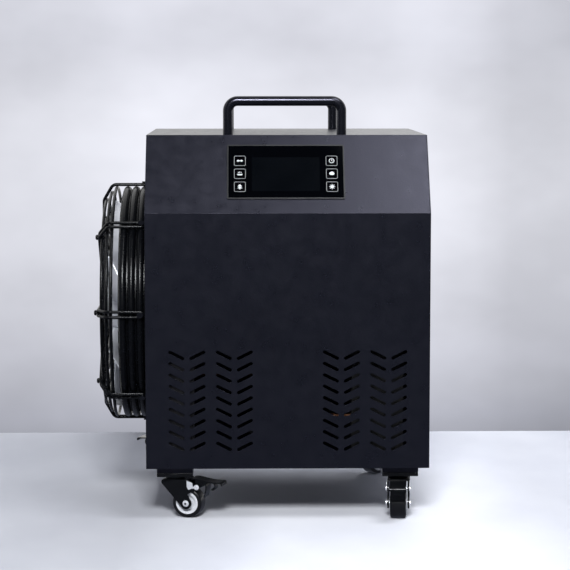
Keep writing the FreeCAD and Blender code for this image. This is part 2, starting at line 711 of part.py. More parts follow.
def fan_stand(item, label):
    """Put a fan piece on the fan's axis, with its own Z out of the wall."""
    return stand(item, label, "-size.wide / 2", "size.fan_deep", "size.fan_height", OUT_LEFT)


def fan_feature(label, shape):
    return feature(label, shape, "-size.wide / 2", "size.fan_deep", "size.fan_height", OUT_LEFT)


WIRE_RING = "(size.duct_rib + size.guard_play + size.wire / 2)"
EYE_HEIGHT = "(size.duct_wall + size.guard_play + size.wire / 2 + size.guard_pair / 2)"
BOLT_RING = "(size.guard_shoulder - size.wire / 2 - size.bolt_shank - size.guard_play)"


def fan_shroud():
    """A rolled ring with a flange on the wall and three pressed ribs."""
    owner = body("fan_shroud")
    inner, wall, crown = "size.duct_inner", "(size.duct_inner + size.duct_wall)", "size.rib_round"
    edge, thick, shoulder = "(size.duct_rib + size.duct_edge)", "size.duct_wall", f"(size.duct_rib - {crown})"
    corners = [(inner, "0"), (edge, "0"), (edge, thick), (wall, thick)]
    for i in range(int(size("rib_count"))):
        low = f"(size.rib_first + {i} * size.rib_pitch - {crown})"
        high = f"({low} + 2 * {crown})"
        corners += [(wall, low), (shoulder, low, shoulder), (shoulder, high), (wall, high)]
    corners += [(wall, "size.duct_long"), (inner, "size.duct_long")]
    turned(owner, outline(sketch(owner, "profile", "XZ_Plane"), corners))
    hole = disc(sketch(owner, "hole", "YZ_Plane"), "0", EYE_HEIGHT, "size.bolt_shank")
    pair = pocket(owner, hole, "4 * size.duct_rib", both=True)
    holes = owner.newObject("PartDesign::PolarPattern", "holes")
    holes.Originals = [pair]
    holes.Axis = (hole, ["V_Axis"])
    holes.setExpression("Angle", "180 - 360 / size.arm_count")
    holes.setExpression("Occurrences", "size.arm_count / 2")
    owner.Tip = holes
    fan_stand(owner, "fan_shroud")


def hexagon(centre, normal, along, across_flats):
    """A six-sided section standing across a wire, one flat facing along the given way."""
    other = normal.cross(along)
    corner = across_flats / 2 / cos(pi / 6)
    points = []
    for i in range(7):
        angle = pi / 6 + i * pi / 3
        points.append(centre + along * (corner * cos(angle)) + other * (corner * sin(angle)))
    return Part.makePolygon(points)


def guard_ring(radius, height, across_flats):
    section = hexagon(Vector(radius, 0, height), Vector(0, -1, 0), Vector(0, 0, 1), across_flats)
    return Part.Face(section).revolve(Vector(), Vector(0, 0, 1), 360)


def bent_path(points, radii):
    """Straight runs through these points, with a tangent arc at each inner one."""
    edges = []
    start = points[0]
    for i in range(1, len(points) - 1):
        before = (points[i - 1] - points[i]).normalize()
        after = (points[i + 1] - points[i]).normalize()
        half = before.getAngle(after) / 2
        set_back = radii[i - 1] / tan(half)
        first = points[i] + before * set_back
        last = points[i] + after * set_back
        bisector = (before + after).normalize()
        middle = points[i] + bisector * (radii[i - 1] / sin(half) - radii[i - 1])
        if (first - start).Length > 1e-6:
            edges.append(Part.LineSegment(start, first).toShape())
        edges.append(Part.Arc(first, middle, last).toShape())
        start = last
    edges.append(Part.LineSegment(start, points[-1]).toShape())
    return Part.Wire(edges)


def guard_arm():
    """One wire bent double: out from the hub, along the side, round its screw and back."""
    reach = size("guard_reach") - size("wire") / 2
    radius, wall = val(WIRE_RING), size("guard_wall")
    foot = size("duct_wall") + size("wire") / 2 + size("guard_play")
    half, hub = size("guard_pair") / 2, size("guard_hub")
    shoulder, soft = size("guard_shoulder"), size("guard_bend")
    corners = [
        Vector(hub, half, reach), Vector(shoulder, half, reach), Vector(radius, half, wall),
        Vector(radius, half, foot + half), Vector(radius, 0, foot + half), Vector(radius, -half, foot + half),
        Vector(radius, -half, wall), Vector(shoulder, -half, reach), Vector(hub, -half, reach),
    ]
    out = bent_path(corners[:4], [soft, soft])
    eye = Part.Arc(corners[3], Vector(radius, 0, foot), corners[5]).toShape()
    home = bent_path(corners[5:], [soft, soft])
    path = Part.Wire(out.Edges + [eye] + home.Edges)
    section = hexagon(corners[0], Vector(1, 0, 0), Vector(0, 0, 1), size("wire"))
    return path.makePipeShell([section], True, False)


def fan_guard():
    """The welded wire basket: bent arms, front rings behind them, two side rings and the hub."""
    across = size("wire")
    arm = guard_arm()
    pieces = []
    count = int(size("arm_count"))
    for i in range(count):
        turn = arm.copy()
        turn.rotate(Vector(), Vector(0, 0, 1), 360 * i / count)
        pieces.append(turn)
    behind = size("guard_reach") - 1.5 * across
    for i in range(int(size("ring_count"))):
        pieces.append(guard_ring(size("guard_shoulder") - i * size("ring_step"), behind, across))
    inner_ring = val(WIRE_RING) - across
    pieces.append(guard_ring(inner_ring, size("side_ring"), across))
    pieces.append(guard_ring(inner_ring - size("corner_inset"), size("corner_ring"), across))
    plate = size("hub_plate")
    seat = Vector(0, 0, behind + across / 2 - plate)
    pieces.append(Part.makeCylinder(size("guard_hub") + size("guard_grip"), plate, seat))
    fan_feature("fan_guard", Part.makeCompound(pieces))


def round_head(name, radius, height, shank, long, x="0", y="0", z="0", head_up=True):
    """A screw of two diameters, its head resting at a height."""
    head = cylinder(name + "_head", radius, height, x, y, z)
    low = f"({z}) - ({long})" if head_up else f"({z}) + ({height})"
    stem = cylinder(name + "_stem", shank, long, x, y, low)
    return fused(name, [head, stem])


def ring_of(name, label, angles, radius, z, head, tall, shank, long):
    """Equal screws standing on a circle round the fan's axis."""
    screws = []
    for i, angle in enumerate(angles):
        x = f"({radius}) * cos({angle}deg)"
        y = f"({radius}) * sin({angle}deg)"
        screws.append(round_head(f"{name}_{i}", head, tall, shank, long, x, y, z))
    return fan_stand(together(label, screws), label)


def fan_fasteners():
    """Bolts on the guard's shoulder, but not on its topmost and lowest arms, and screws through
    the wires' eyes into the first rib."""
    count = int(size("arm_count"))
    carriers = [360 * i / count for i in range(count) if i % (count // 2)]
    ring_of("guard_bolt", "guard_bolts", carriers, BOLT_RING, "size.guard_reach", "size.bolt_head",
            "size.bolt_reach - size.guard_reach", "size.bolt_shank", "size.wire + size.bolt_tail")
    screws = []
    for i in range(count):
        angle = 360 * i / count
        screw = round_head(f"guard_screw_{i}", "size.bolt_head", "size.screw_tall", "size.bolt_shank",
                           "size.wire + size.guard_play + size.duct_wall")
        outward = Rotation(Vector(0, 0, 1), angle) * Rotation(Vector(0, 1, 0), 90)
        screw.Placement = Placement(Vector(), outward)
        screw.setExpression(".Placement.Base.x", f"({WIRE_RING} + size.wire / 2) * cos({angle}deg)")
        screw.setExpression(".Placement.Base.y", f"({WIRE_RING} + size.wire / 2) * sin({angle}deg)")
        screw.setExpression(".Placement.Base.z", EYE_HEIGHT)
        screws.append(screw)
    fan_stand(together("guard_screws", screws), "guard_screws")


def fan_motor():
    """The still half of the motor: a winding drum bored for the shaft, on a base under the guard's hub."""
    owner = body("fan_motor")
    base_top = "(size.guard_reach - size.wire - size.hub_plate)"
    bore = "(size.shaft_radius + size.axle_play)"
    drum, plate = "(size.hub_radius - size.rotor_wall - size.rotor_gap)", "size.guard_hub"
    low, shelf = "(size.rotor_low + size.rotor_wall + size.rotor_gap)", f"({base_top} - size.motor_base)"
    turned(owner, outline(sketch(owner, "profile", "XZ_Plane"), [
        (bore, low), (drum, low), (drum, f"{shelf} - size.rotor_gap"), (f"{drum} - size.rotor_gap", shelf),
        (plate, shelf), (plate, base_top), (bore, base_top),
    ]))
    fan_stand(owner, "fan_motor")


def blade():
    """A swept blade: three bowed sections, from inside the rotor to the tip, drawn into one."""
    sections = []
    root, tip, thick = size("hub_radius") - size("rotor_wall") / 2, size("blade_tip"), size("blade_thick")
    for share in (0, 0.5, 1):
        radius = root + (tip - root) * share
        spread = size("blade_root") + (size("blade_span") - size("blade_root")) * share
        lead = size("blade_sweep") * share
        half = radius * tan(radians(spread / 2))
        points = []
        for along in (-1, 0, 1):
            pitch = size("blade_rise") * (along + 1) / 2
            camber = size("blade_bow") * (1 - along ** 2)
            points.append(Vector(radius, along * half, size("blade_low") + pitch - camber))
        lift = Vector(0, 0, thick)
        low = Part.Arc(*points).toShape()
        high = Part.Arc(*(p + lift for p in points)).toShape()
        ends = [Part.LineSegment(p, p + lift).toShape() for p in (points[2], points[0])]
        section = Part.Wire(Part.__sortEdges__([low, ends[0], high, ends[1]]))
        section.rotate(Vector(), Vector(0, 0, 1), lead)
        sections.append(section)
    deep = 2 * size("guard_reach")
    return Part.makeLoft(sections, True, False).common(Part.makeCylinder(tip, deep))


def fan_impeller():
    """The turning half of the motor, a cup with its shaft, and the blades welded round it."""
    low, wall, outer = size("rotor_low"), size("rotor_wall"), size("hub_radius")
    long, shaft = size("hub_long"), size("shaft_radius")
    cup = Part.makeCylinder(outer, long, Vector(0, 0, low))
    cup = cup.cut(Part.makeCylinder(outer - wall, long, Vector(0, 0, low + wall)))
    cup = cup.fuse(Part.makeCylinder(shaft, long, Vector(0, 0, low)))
    count = int(size("blade_count"))
    shape = blade()
    blades = []
    for i in range(count):
        turn = shape.copy()
        turn.rotate(Vector(), Vector(0, 0, 1), 360 * i / count)
        blades.append(turn)
    whole = cup.fuse(blades)
    cavity = Part.makeCylinder(outer - wall, long, Vector(0, 0, low + wall))
    cavity = cavity.cut(Part.makeCylinder(shaft, 2 * long, Vector(0, 0, low)))
    fan_feature("fan_impeller", whole.cut(cavity).removeSplitter())


# Castors: each one's own frame has its kingpin on Z and its wheel trailing along X

def castor(name, x, y, yaw):
    turn = Rotation(Vector(0, 0, 1), yaw)
    axle_z = f"-{AXLE_DROP}"
    side = "size.pad_size"

    plate = block(f"{name}_plate_top", side, side, "size.plate_thick", z="-size.pad_thick - size.plate_thick")
    race = cylinder(f"{name}_race", "size.race_radius", "size.race_thick", z=f"-{FORK_TOP}")
    bore = cylinder(f"{name}_bore", "size.kingpin + size.axle_play", "size.race_thick + size.pin_play",
                    z=f"-{FORK_TOP}")
    whole = fused(f"{name}_plate_whole", [plate, race])
    stand(less(f"{name}_plate", whole, bore), f"{name}_plate", x, y)

    fork(name, x, y, turn)

    bolts = []
    for spot, height, shank, head in (
        ("size.trail", axle_z, "size.axle_radius", "size.axle_head"),
        (f"{PIVOT_X}", f"{PIVOT_Z}", "size.pivot_radius", "size.pivot_head"),
    ):
        stem = cylinder(f"{name}_stem", shank, f"2 * {CHEEK_OUT}", "0", "0", f"-{CHEEK_OUT}")
        near = cylinder(f"{name}_head", head, "size.head_thick", "0", "0", CHEEK_OUT)
        far = cylinder(f"{name}_nut", head, "size.head_thick", "0", "0", f"-{CHEEK_OUT} - size.head_thick")
        pin = fused(f"{name}_pin", [stem, near, far])
        pin.Placement = Placement(Vector(), Rotation(Vector(1, 0, 0), 90))
        pin.setExpression(".Placement.Base.x", spot)
        pin.setExpression(".Placement.Base.z", height)
        bolts.append(pin)
    stand(together(f"{name}_bolts", bolts), f"{name}_bolts", x, y, turn=turn)

    wheel(name, x, y, yaw)
    brake_lever(name, x, y, turn)


def castor_pads():
    """Four blocks that space the castors' plates from the base pan."""
    pads = []
    for side in (-1, 1):
        for depth in ("size.castor_front", "size.castor_rear"):
            pads.append(block("pad", "size.pad_size", "size.pad_size", "size.pad_thick",
                              f"{side} * size.castor_side", depth, "-size.pad_thick"))
    stand(together("castor_pads", pads), "castor_pads")


PIVOT_X = "(size.trail + size.pivot_ahead)"
PIVOT_Z = f"(size.pivot_above - {AXLE_DROP})"


def on_round(x, z, radius, angle):
    """A point of a circle in a side view, at an angle from the horizontal."""
    return f"{x} + {radius} * cos({angle}deg)", f"{z} + {radius} * sin({angle}deg)"


def fork(name, x, y, turn):
    """Two cheeks under a bridge, with round lobes at the axle, the brake pivot and the nose."""
    owner = body(f"{name}_fork")
    top, axle_z = f"-{FORK_TOP}", f"-{AXLE_DROP}"
    nose_x, nose_z = "-(size.race_radius - size.nose / 2)", f"-({FORK_TOP} + size.nose)"
    back = "(size.trail + size.cheek_back)"
    cheek = outline(sketch(owner, "cheek", "XZ_Plane"), [
        (nose_x, top), (back, top), (back, f"{top} - size.cheek_thick"),
        on_round(PIVOT_X, PIVOT_Z, "size.pivot_lobe", 55), on_round(PIVOT_X, PIVOT_Z, "size.pivot_lobe", 235),
        (back, f"{axle_z} + size.lobe + size.pivot_lobe"),
        on_round("size.trail", axle_z, "size.lobe", 25), on_round("size.trail", axle_z, "size.lobe", 215),
        on_round(nose_x, nose_z, "size.nose", 215),
    ])
    pad(owner, cheek, f"2 * {CHEEK_OUT}", both=True)
    for label, cx, cz, radius in (
        ("axle_lobe", "size.trail", axle_z, "size.lobe"),
        ("brake_lobe", PIVOT_X, PIVOT_Z, "size.pivot_lobe"),
        ("nose_lobe", nose_x, nose_z, "size.nose"),
    ):
        lobe = disc(sketch(owner, label, "XZ_Plane"), cx, cz, radius)
        pad(owner, lobe, f"2 * {CHEEK_OUT}", both=True)
    hollow = sketch(owner, "hollow", "YZ_Plane")
    oblong(hollow, f"-{CHEEK_IN}", "-size.floor_drop", CHEEK_IN, f"{top} - size.cheek_thick")
    pocket(owner, hollow, "4 * size.pad_size", both=True)
    pad(owner, disc(sketch(owner, "kingpin", height=top), "0", "0", "size.kingpin"), "size.race_thick")
    holes = sketch(owner, "holes", "XZ_Plane")
    disc(holes, "size.trail", axle_z, "size.axle_radius")
    disc(holes, PIVOT_X, PIVOT_Z, "size.pivot_radius")
    pocket(owner, holes, "4 * size.pad_size", both=True)
    stand(owner, f"{name}_fork", x, y, turn=turn)


def wheel(name, x, y, yaw):
    """A rim with a webbed middle and a rubber tyre round it, both turned about the axle."""
    lying = Rotation(Vector(0, 0, 1), yaw) * Rotation(Vector(1, 0, 0), 90)
    half, bore, rim = "(size.wheel_wide / 2)", "(size.axle_radius + size.axle_play)", "size.rim_radius"
    hub, web = "size.hub_boss", "size.web_thick / 2"
    spot_x = f"{x} + size.trail * cos({yaw}deg)"
    spot_y = f"{y} + size.trail * sin({yaw}deg)"
    owner = body(f"{name}_wheel")
    turned(owner, outline(sketch(owner, "profile", "XZ_Plane"), [
        (bore, f"-{half}"), (hub, f"-{half}"), (hub, f"-{web}"), (f"{rim} - size.rim_wall", f"-{web}"),
        (f"{rim} - size.rim_wall", f"size.rim_inset - {half}"), (rim, f"size.rim_inset - {half}"),
        (rim, f"{half} - size.rim_inset"), (f"{rim} - size.rim_wall", f"{half} - size.rim_inset"),
        (f"{rim} - size.rim_wall", web), (hub, web), (hub, half), (bore, half),
    ]))
    stand(owner, f"{name}_wheel", spot_x, spot_y, f"-{AXLE_DROP}", lying)

    rubber = body(f"{name}_tyre")
    edge, round_off = f"({half} - size.rim_inset)", "size.tyre_round"
    turned(rubber, outline(sketch(rubber, "profile", "XZ_Plane"), [
        (rim, f"-{edge}"), (f"size.wheel_radius - {round_off}", f"-{edge}"),
        ("size.wheel_radius", f"{round_off} - {edge}"), ("size.wheel_radius", f"{edge} - {round_off}"),
        (f"size.wheel_radius - {round_off}", edge), (rim, edge),
    ]))
    stand(rubber, f"{name}_tyre", spot_x, spot_y, f"-{AXLE_DROP}", lying)


def brake_lever(name, x, y, turn):
    """A pressed lever on its pivot: a tread over the wheel and a shoe that hangs behind it."""
    owner = body(f"{name}_brake")
    thick, bevel, bush_radius = "size.pedal_thick", "size.tread_round", "(size.pivot_radius + size.bush_wall)"
    ahead, heel, tip = "size.pivot_ahead", "size.shoe_heel", "size.tread_tip"
    flat, crest, bend, low = "size.tread_flat", "size.tread_crest", "size.shoe_bend", "size.shoe_low"
    under = f"({flat} - 2 * {thick})"
    lever = [
        (f"{ahead} - size.tread_nose", f"size.pivot_above + {bush_radius}"),
        (f"{ahead} - {bush_radius}", f"{crest} - {bevel}"), (ahead, crest),
        (f"{heel} + {bush_radius}", flat), (f"{tip} - {bevel}", flat), (tip, f"{flat} - {bevel}"),
        (tip, f"{flat} - size.tread_lip"), (f"{tip} - {thick}", f"{flat} - size.tread_lip"),
        (f"{tip} - {thick}", f"{flat} - {thick}"), (heel, f"{flat} - {thick}"), (heel, bend),
        (f"{heel} - size.shoe_lean", low), (f"{heel} - size.shoe_lean - {thick}", low),
        (f"{heel} - {thick}", bend), (f"{heel} - {thick}", under),
        (f"{ahead} + {bush_radius}", under), (f"{ahead} - {bush_radius}", under),
    ]
    profile = outline(sketch(owner, "profile", "XZ_Plane"), [
        (f"size.trail + {along}", f"{up} - {AXLE_DROP}") for along, up in lever
    ])
    pad(owner, profile, "size.pedal_wide", both=True)
    bush = disc(sketch(owner, "bush", "XZ_Plane"), PIVOT_X, PIVOT_Z, bush_radius)
    pad(owner, bush, "size.pedal_wide", both=True)
    hole = disc(sketch(owner, "hole", "XZ_Plane"), PIVOT_X, PIVOT_Z, "size.pivot_radius + size.axle_play")
    pocket(owner, hole, "4 * size.pad_size", both=True)
    stand(owner, f"{name}_brake", x, y, turn=turn)


# Rear fittings

PORT_X = "(size.wide / 2 - size.port_edge)"
PACK_X = "(size.wide / 2 - size.pack_edge)"
PORTS = {"water_inlet": "size.port_low", "water_outlet": "(size.port_low + size.port_pitch)"}


def water_port(label, height):
    """A turned spigot: a flange on the rear panel, a thread outside and a tail inside."""
    owner = body(label)
    bore, tube = "size.pipe_bore / 2", "(size.pipe_bore / 2 + size.pipe_wall)"
    flange, thick = f"({tube} + size.port_rim)", "size.port_rim"
    reach, relief = "(size.rear_reach - size.pipe_wall)", "size.pipe_wall / 2"
    turned(owner, outline(sketch(owner, "profile", "XZ_Plane"), [
        (bore, "-size.port_tail"), (tube, "-size.port_tail"), (tube, "0"), (flange, "0"), (flange, thick),
        (tube, f"{thick} + {relief}"), (tube, reach), (f"{tube} - {relief}", "size.rear_reach"),
        (bore, "size.rear_reach"),
    ]))
    stand(owner, label, PORT_X, "size.deep", height, OUT_BACK)


def cord_gland():
    """A stepped gland on the rear panel with a bore for the power cord."""
    owner = body("cord_gland")
    bore, nut = "(size.cord_thick / 2)", "size.gland_radius"
    turned(owner, outline(sketch(owner, "profile", "XZ_Plane"), [
        (bore, "0"), (nut, "0"), (nut, "size.gland_step"), (f"{nut} - size.pipe_wall / 2", "size.gland_step"),
        (f"{nut} - size.pipe_wall", "size.gland_long"), (bore, "size.gland_long"),
    ]))
    stand(owner, "cord_gland", "size.gland_side", "size.deep", GLAND_HEIGHT, OUT_BACK)


# Inside: everything stands on the base pan's floor

def inside(item, label, x, y, z="size.skin", turn=None):
    return stand(item, label, x, y, z, turn)


def compressor():
    """A domed steel shell on a square foot, on four rubber feet."""
    owner = body("compressor")
    foot, thick, radius, tall = "size.shell_foot", "size.foot_plate", "size.shell_radius", "size.shell_tall"
    plan = oblong(sketch(owner, "foot"), f"-{foot} / 2", f"-{foot} / 2", f"{foot} / 2", f"{foot} / 2")
    pad(owner, plan, thick)
    dome = "size.shell_dome"
    turned(owner, outline(sketch(owner, "profile", "XZ_Plane"), [
        ("0", "0"), (f"{radius} - {dome} / 2", "0"), (radius, dome), (radius, f"{tall} - {dome}"),
        (f"{radius} - {dome} / 3", f"{tall} - {dome} / 3"), (f"{radius} - {dome}", tall), ("0", tall),
    ]))
    inside(owner, "compressor", "size.shell_x", "size.shell_y", "size.skin + size.rubber_tall")
    feet = []
    apart = f"({foot} / 2 - size.rubber_radius)"
    for side in (-1, 1):
        for end in (-1, 1):
            feet.append(cylinder("foot", "size.rubber_radius", "size.rubber_tall",
                                 f"{side} * {apart}", f"{end} * {apart}"))
    inside(together("compressor_feet", feet), "compressor_feet", "size.shell_x", "size.shell_y")


def condenser():
    """The finned block in front of the fan opening, between two tube plates."""
    core = block("fins", "size.core_thick", "size.core_deep", "size.core_tall")
    thick, tall = "size.core_thick + size.flange", "size.core_tall + size.flange"
    plates = [
        block("tube_plate", thick, "size.tube_plate", tall,
              y=f"{side} * (size.core_deep + size.tube_plate) / 2")
        for side in (-1, 1)
    ]
    whole = fused("condenser", [core] + plates)
    inside(whole, "condenser", CORE_X, "size.fan_deep")


CORE_X = f"-({INSIDE} - size.flange - size.core_gap - size.core_thick / 2)"


def heat_exchanger():
    """A brazed plate pack with four stub ports on its rear face."""
    owner = body("heat_exchanger")
    wide, deep, tall = "size.pack_wide", "size.pack_deep", "size.pack_tall"
    plan = oblong(sketch(owner, "plan"), f"-{wide} / 2", f"-{deep} / 2", f"{wide} / 2", f"{deep} / 2")
    pad(owner, plan, tall)
    inside(owner, "heat_exchanger", PACK_X, "size.pack_y")


def pump():
    """A circulation pump: a motor can over a round volute with a foot."""
    owner = body("circulation_pump")
    volute, can, tall = "size.volute_radius", "size.can_radius", "size.pump_tall"
    low = "size.volute_tall"
    turned(owner, outline(sketch(owner, "profile", "XZ_Plane"), [
        ("0", "0"), (volute, "0"), (volute, low), (can, f"{low} + {volute} - {can}"),
        (can, f"{tall} - size.pipe_wall"), (f"{can} - size.pipe_wall", tall), ("0", tall),
    ]))
    inside(owner, "circulation_pump", PORT_X, "size.pump_y")


def tube(points, bends, radius):
    """A round tube along straight runs joined by tangent arcs."""
    path = bent_path(points, bends)
    start = Part.Wire(Part.makeCircle(radius, points[0], points[1] - points[0]))
    return path.makePipeShell([start], True, False)


def spot(*places):
    """Points of a pipe's route, written in the cabinet frame."""
    return [Vector(val(x), val(y), val(z)) for x, y, z in places]


def copper_pipes():
    """Discharge, liquid and suction pipes between compressor, condenser and heat exchanger."""
    face = f"({CORE_X} + size.core_thick / 2)"
    pack = f"({PACK_X} - size.pack_wide / 2)"
    top = "(size.skin + size.rubber_tall + size.shell_tall)"
    aside, bend, radius = "size.copper_aside", size("copper_bend"), size("copper") / 2
    stub, beside = f"size.shell_x + {aside}", f"size.pack_y + {aside} / 2"
    shell_x, shell_y, pack_y = "size.shell_x", "size.shell_y", "size.pack_y"
    high, low, home = "size.copper_high", "size.copper_low", "size.copper_return"
    routes = [
        spot((stub, shell_y, top), (stub, shell_y, high), (face, shell_y, high)),
        spot((face, beside, low), ("0", beside, low),
             ("0", pack_y, f"{low} / 2"), (pack, pack_y, f"{low} / 2")),
        spot((pack, pack_y, home), (shell_x, pack_y, home), (shell_x, shell_y, home), (shell_x, shell_y, top)),
    ]
    pipes = [tube(route, [bend] * (len(route) - 2), radius) for route in routes]
    feature("copper_pipes", Part.makeCompound(pipes))


def water_hoses():
    """Hoses from the inlet to the pump, on to the heat exchanger, and out to the outlet."""
    tail, pack = "(size.deep - size.port_tail)", "(size.pack_y + size.pack_deep / 2)"
    rise = "(size.pack_tall - size.pack_wide)"
    across = f"({PORT_X} + size.can_radius)"
    behind, before = "size.pump_y + size.can_radius", "size.pump_y - size.can_radius"
    low, high = "size.port_low", PORTS["water_outlet"]
    radius = size("hose") / 2
    runs = [
        spot((PORT_X, tail, low), (PORT_X, behind, low)),
        spot((PORT_X, before, low), (PORT_X, pack, low)),
        spot((across, pack, rise), (across, "size.pump_y - 2 * size.can_radius", rise),
             (PORT_X, behind, high), (PORT_X, tail, high)),
    ]
    hoses = [
        Part.makeCylinder(radius, (run[1] - run[0]).Length, run[0], run[1] - run[0]) if len(run) == 2
        else tube(run, [size("hose_bend")] * (len(run) - 2), radius)
        for run in runs
    ]
    feature("water_hoses", Part.makeCompound(hoses))


def main():
    os.makedirs("parts", exist_ok=True)
    base_pan()
    side_panel("left_side_panel", -1)
    side_panel("right_side_panel", 1)
    front_panel()
    top_panel()
    rear_panel()
    handle("front_handle", "size.handle_front", "size.handle_rise")
    handle("rear_handle", "size.handle_rear", "size.handle_low")
    display()
    fan_shroud()
    fan_guard()
    fan_fasteners()
    fan_motor()
    fan_impeller()
    castor_pads()
    for label, height in PORTS.items():
        water_port(label, height)
    cord_gland()
    compressor()
    condenser()
    heat_exchanger()
    pump()
    copper_pipes()
    water_hoses()
    panel_screws()
    handle_screws()
    for name, side, depth, yaw in (
        ("front_left", -1, "size.castor_front", -17), ("front_right", 1, "size.castor_front", -96),
        ("rear_left", -1, "size.castor_rear", 160), ("rear_right", 1, "size.castor_rear", 222),
    ):
        castor(name, f"{side} * size.castor_side", depth, yaw)
    doc.recompute()
    for item in doc.Objects:
        if "Invalid" in item.State or "Error" in item.State:
            raise SystemExit(f"{item.Label} failed: {item.State}")
    for item in nodes:
        shape = item.Shape
        if shape.isNull() or not shape.isValid():
            raise SystemExit(f"{item.Label} has no valid shape")
        shape.exportStep(f"parts/{item.Label}.step")
        print(item.Label, len(shape.Solids), round(shape.Volume), shape.BoundBox)


main()
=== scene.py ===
"""Looks of the ice bath chiller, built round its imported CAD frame. All lengths are in metres."""

import json
import math

import bmesh
import bpy
from mathutils import Matrix, Vector


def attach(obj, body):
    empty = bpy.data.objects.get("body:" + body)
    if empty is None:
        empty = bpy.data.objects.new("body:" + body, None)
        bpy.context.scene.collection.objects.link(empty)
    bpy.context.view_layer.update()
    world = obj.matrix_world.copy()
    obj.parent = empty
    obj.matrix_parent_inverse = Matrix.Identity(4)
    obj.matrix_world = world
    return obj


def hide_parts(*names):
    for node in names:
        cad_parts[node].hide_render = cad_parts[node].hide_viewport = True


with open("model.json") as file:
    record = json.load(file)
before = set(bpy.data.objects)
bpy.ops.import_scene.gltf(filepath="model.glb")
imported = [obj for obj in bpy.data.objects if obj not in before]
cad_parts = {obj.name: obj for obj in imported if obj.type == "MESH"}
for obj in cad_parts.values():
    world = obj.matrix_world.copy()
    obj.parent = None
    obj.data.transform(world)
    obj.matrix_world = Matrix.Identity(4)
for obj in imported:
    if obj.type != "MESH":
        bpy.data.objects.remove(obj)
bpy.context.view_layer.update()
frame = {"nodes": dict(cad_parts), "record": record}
MM = 0.001
TAU = 2 * math.pi

# Places as the CAD model has them, in millimetres and, for the castors' yaw, degrees
CABINET = Vector((37.6, -207.75, 75.0))
CREASE, SETBACK, HIGH = 361.0, 71.0, 468.0
LEAN = math.atan2(SETBACK, HIGH - CREASE)
SLOPE_LONG = math.hypot(SETBACK, HIGH - CREASE)
DISPLAY_MIDDLE = -2.2
FAN_CENTRE = Vector((-200, 200, 216))
FAN_TURN = Matrix(((0, 0, -1, 0), (0, 1, 0, 0), (1, 0, 0, 0), (0, 0, 0, 1)))
CASTORS = {
    "front_left": (-160, 39, -17), "front_right": (160, 39, -96),
    "rear_left": (-160, 361, 160), "rear_right": (160, 361, 222),
}
FAN_SPACE = Matrix.Translation(CABINET + FAN_CENTRE) @ FAN_TURN
SLOPE_FOOT = Matrix.Translation(CABINET + Vector((DISPLAY_MIDDLE, 0, CREASE)))
SLOPE_SPACE = SLOPE_FOOT @ Matrix.Rotation(math.pi / 2 - LEAN, 4, "X")


def castor_space(name):
    """The castor's own frame: at its swivel, with X along its trail."""
    x, y, yaw = CASTORS[name]
    return Matrix.Translation(CABINET + Vector((x, y, 0))) @ Matrix.Rotation(math.radians(yaw), 4, "Z")


# Materials

def material(name, base, rough, metallic=0.0, **sockets):
    """A principled material; the numbers that are the same all over stand on its own sockets."""
    made = bpy.data.materials.new(name)
    made.use_nodes = True
    shader = made.node_tree.nodes["Principled BSDF"]
    shader.inputs["Base Color"].default_value = (*base, 1)
    shader.inputs["Roughness"].default_value = rough
    shader.inputs["Metallic"].default_value = metallic
    for key, value in sockets.items():
        shader.inputs[key.replace("_", " ")].default_value = value
    return made


def node(made, kind, **settings):
    """A new node of a material, with these inputs and settings."""
    added = made.node_tree.nodes.new(kind)
    for key, value in settings.items():
        if key in added.inputs:
            added.inputs[key].default_value = value
        else:
            setattr(added, key, value)
    return added


def link(made, a, out, b, into):
    """A link from one node's output to the other's input."""
    made.node_tree.links.new(a.outputs[out], b.inputs[into])


def noise(made, scale, detail=2.0, stretch=None):
    """Noise over the piece's own coordinates, which are metres in the row's frame."""
    where = node(made, "ShaderNodeTexCoord")
    found = node(made, "ShaderNodeTexNoise", Scale=scale, Detail=detail)
    if stretch:
        spread = node(made, "ShaderNodeMapping", Scale=stretch)
        link(made, where, "Object", spread, "Vector")
        link(made, spread, "Vector", found, "Vector")
    else:
        link(made, where, "Object", found, "Vector")
    return found


def ramp(made, source, low, high, into, start=0.3, stop=0.7):
    """Two colours or two greys laid over a source, into one of the shader's sockets."""
    made_ramp = node(made, "ShaderNodeValToRGB")
    for element, place, value in zip(made_ramp.color_ramp.elements, (start, stop), (low, high)):
        element.position = place
        element.color = (*value, 1) if hasattr(value, "__len__") else (value, value, value, 1)
    link(made, source, "Fac", made_ramp, "Fac")
    link(made, made_ramp, "Color", made.node_tree.nodes["Principled BSDF"], into)
    return made_ramp


def bump(made, source, strength, distance):
    """A fine relief laid over a source."""
    raised = node(made, "ShaderNodeBump", Strength=strength, Distance=distance)
    link(made, source, "Fac", raised, "Height")
    link(made, raised, "Normal", made.node_tree.nodes["Principled BSDF"], "Normal")


def coated(name, dark, light, rough, grain, strength, **sockets):
    """Paint or plastic: a slow change of tone, a fine grain and slightly uneven gloss."""
    made = material(name, dark, rough, **sockets)
    ramp(made, noise(made, 9.0, 4.0), dark, light, "Base Color")
    ramp(made, noise(made, 60.0, 3.0), rough - 0.03, rough + 0.04, "Roughness")
    bump(made, noise(made, grain, 3.0), strength, 0.0002)
    return made


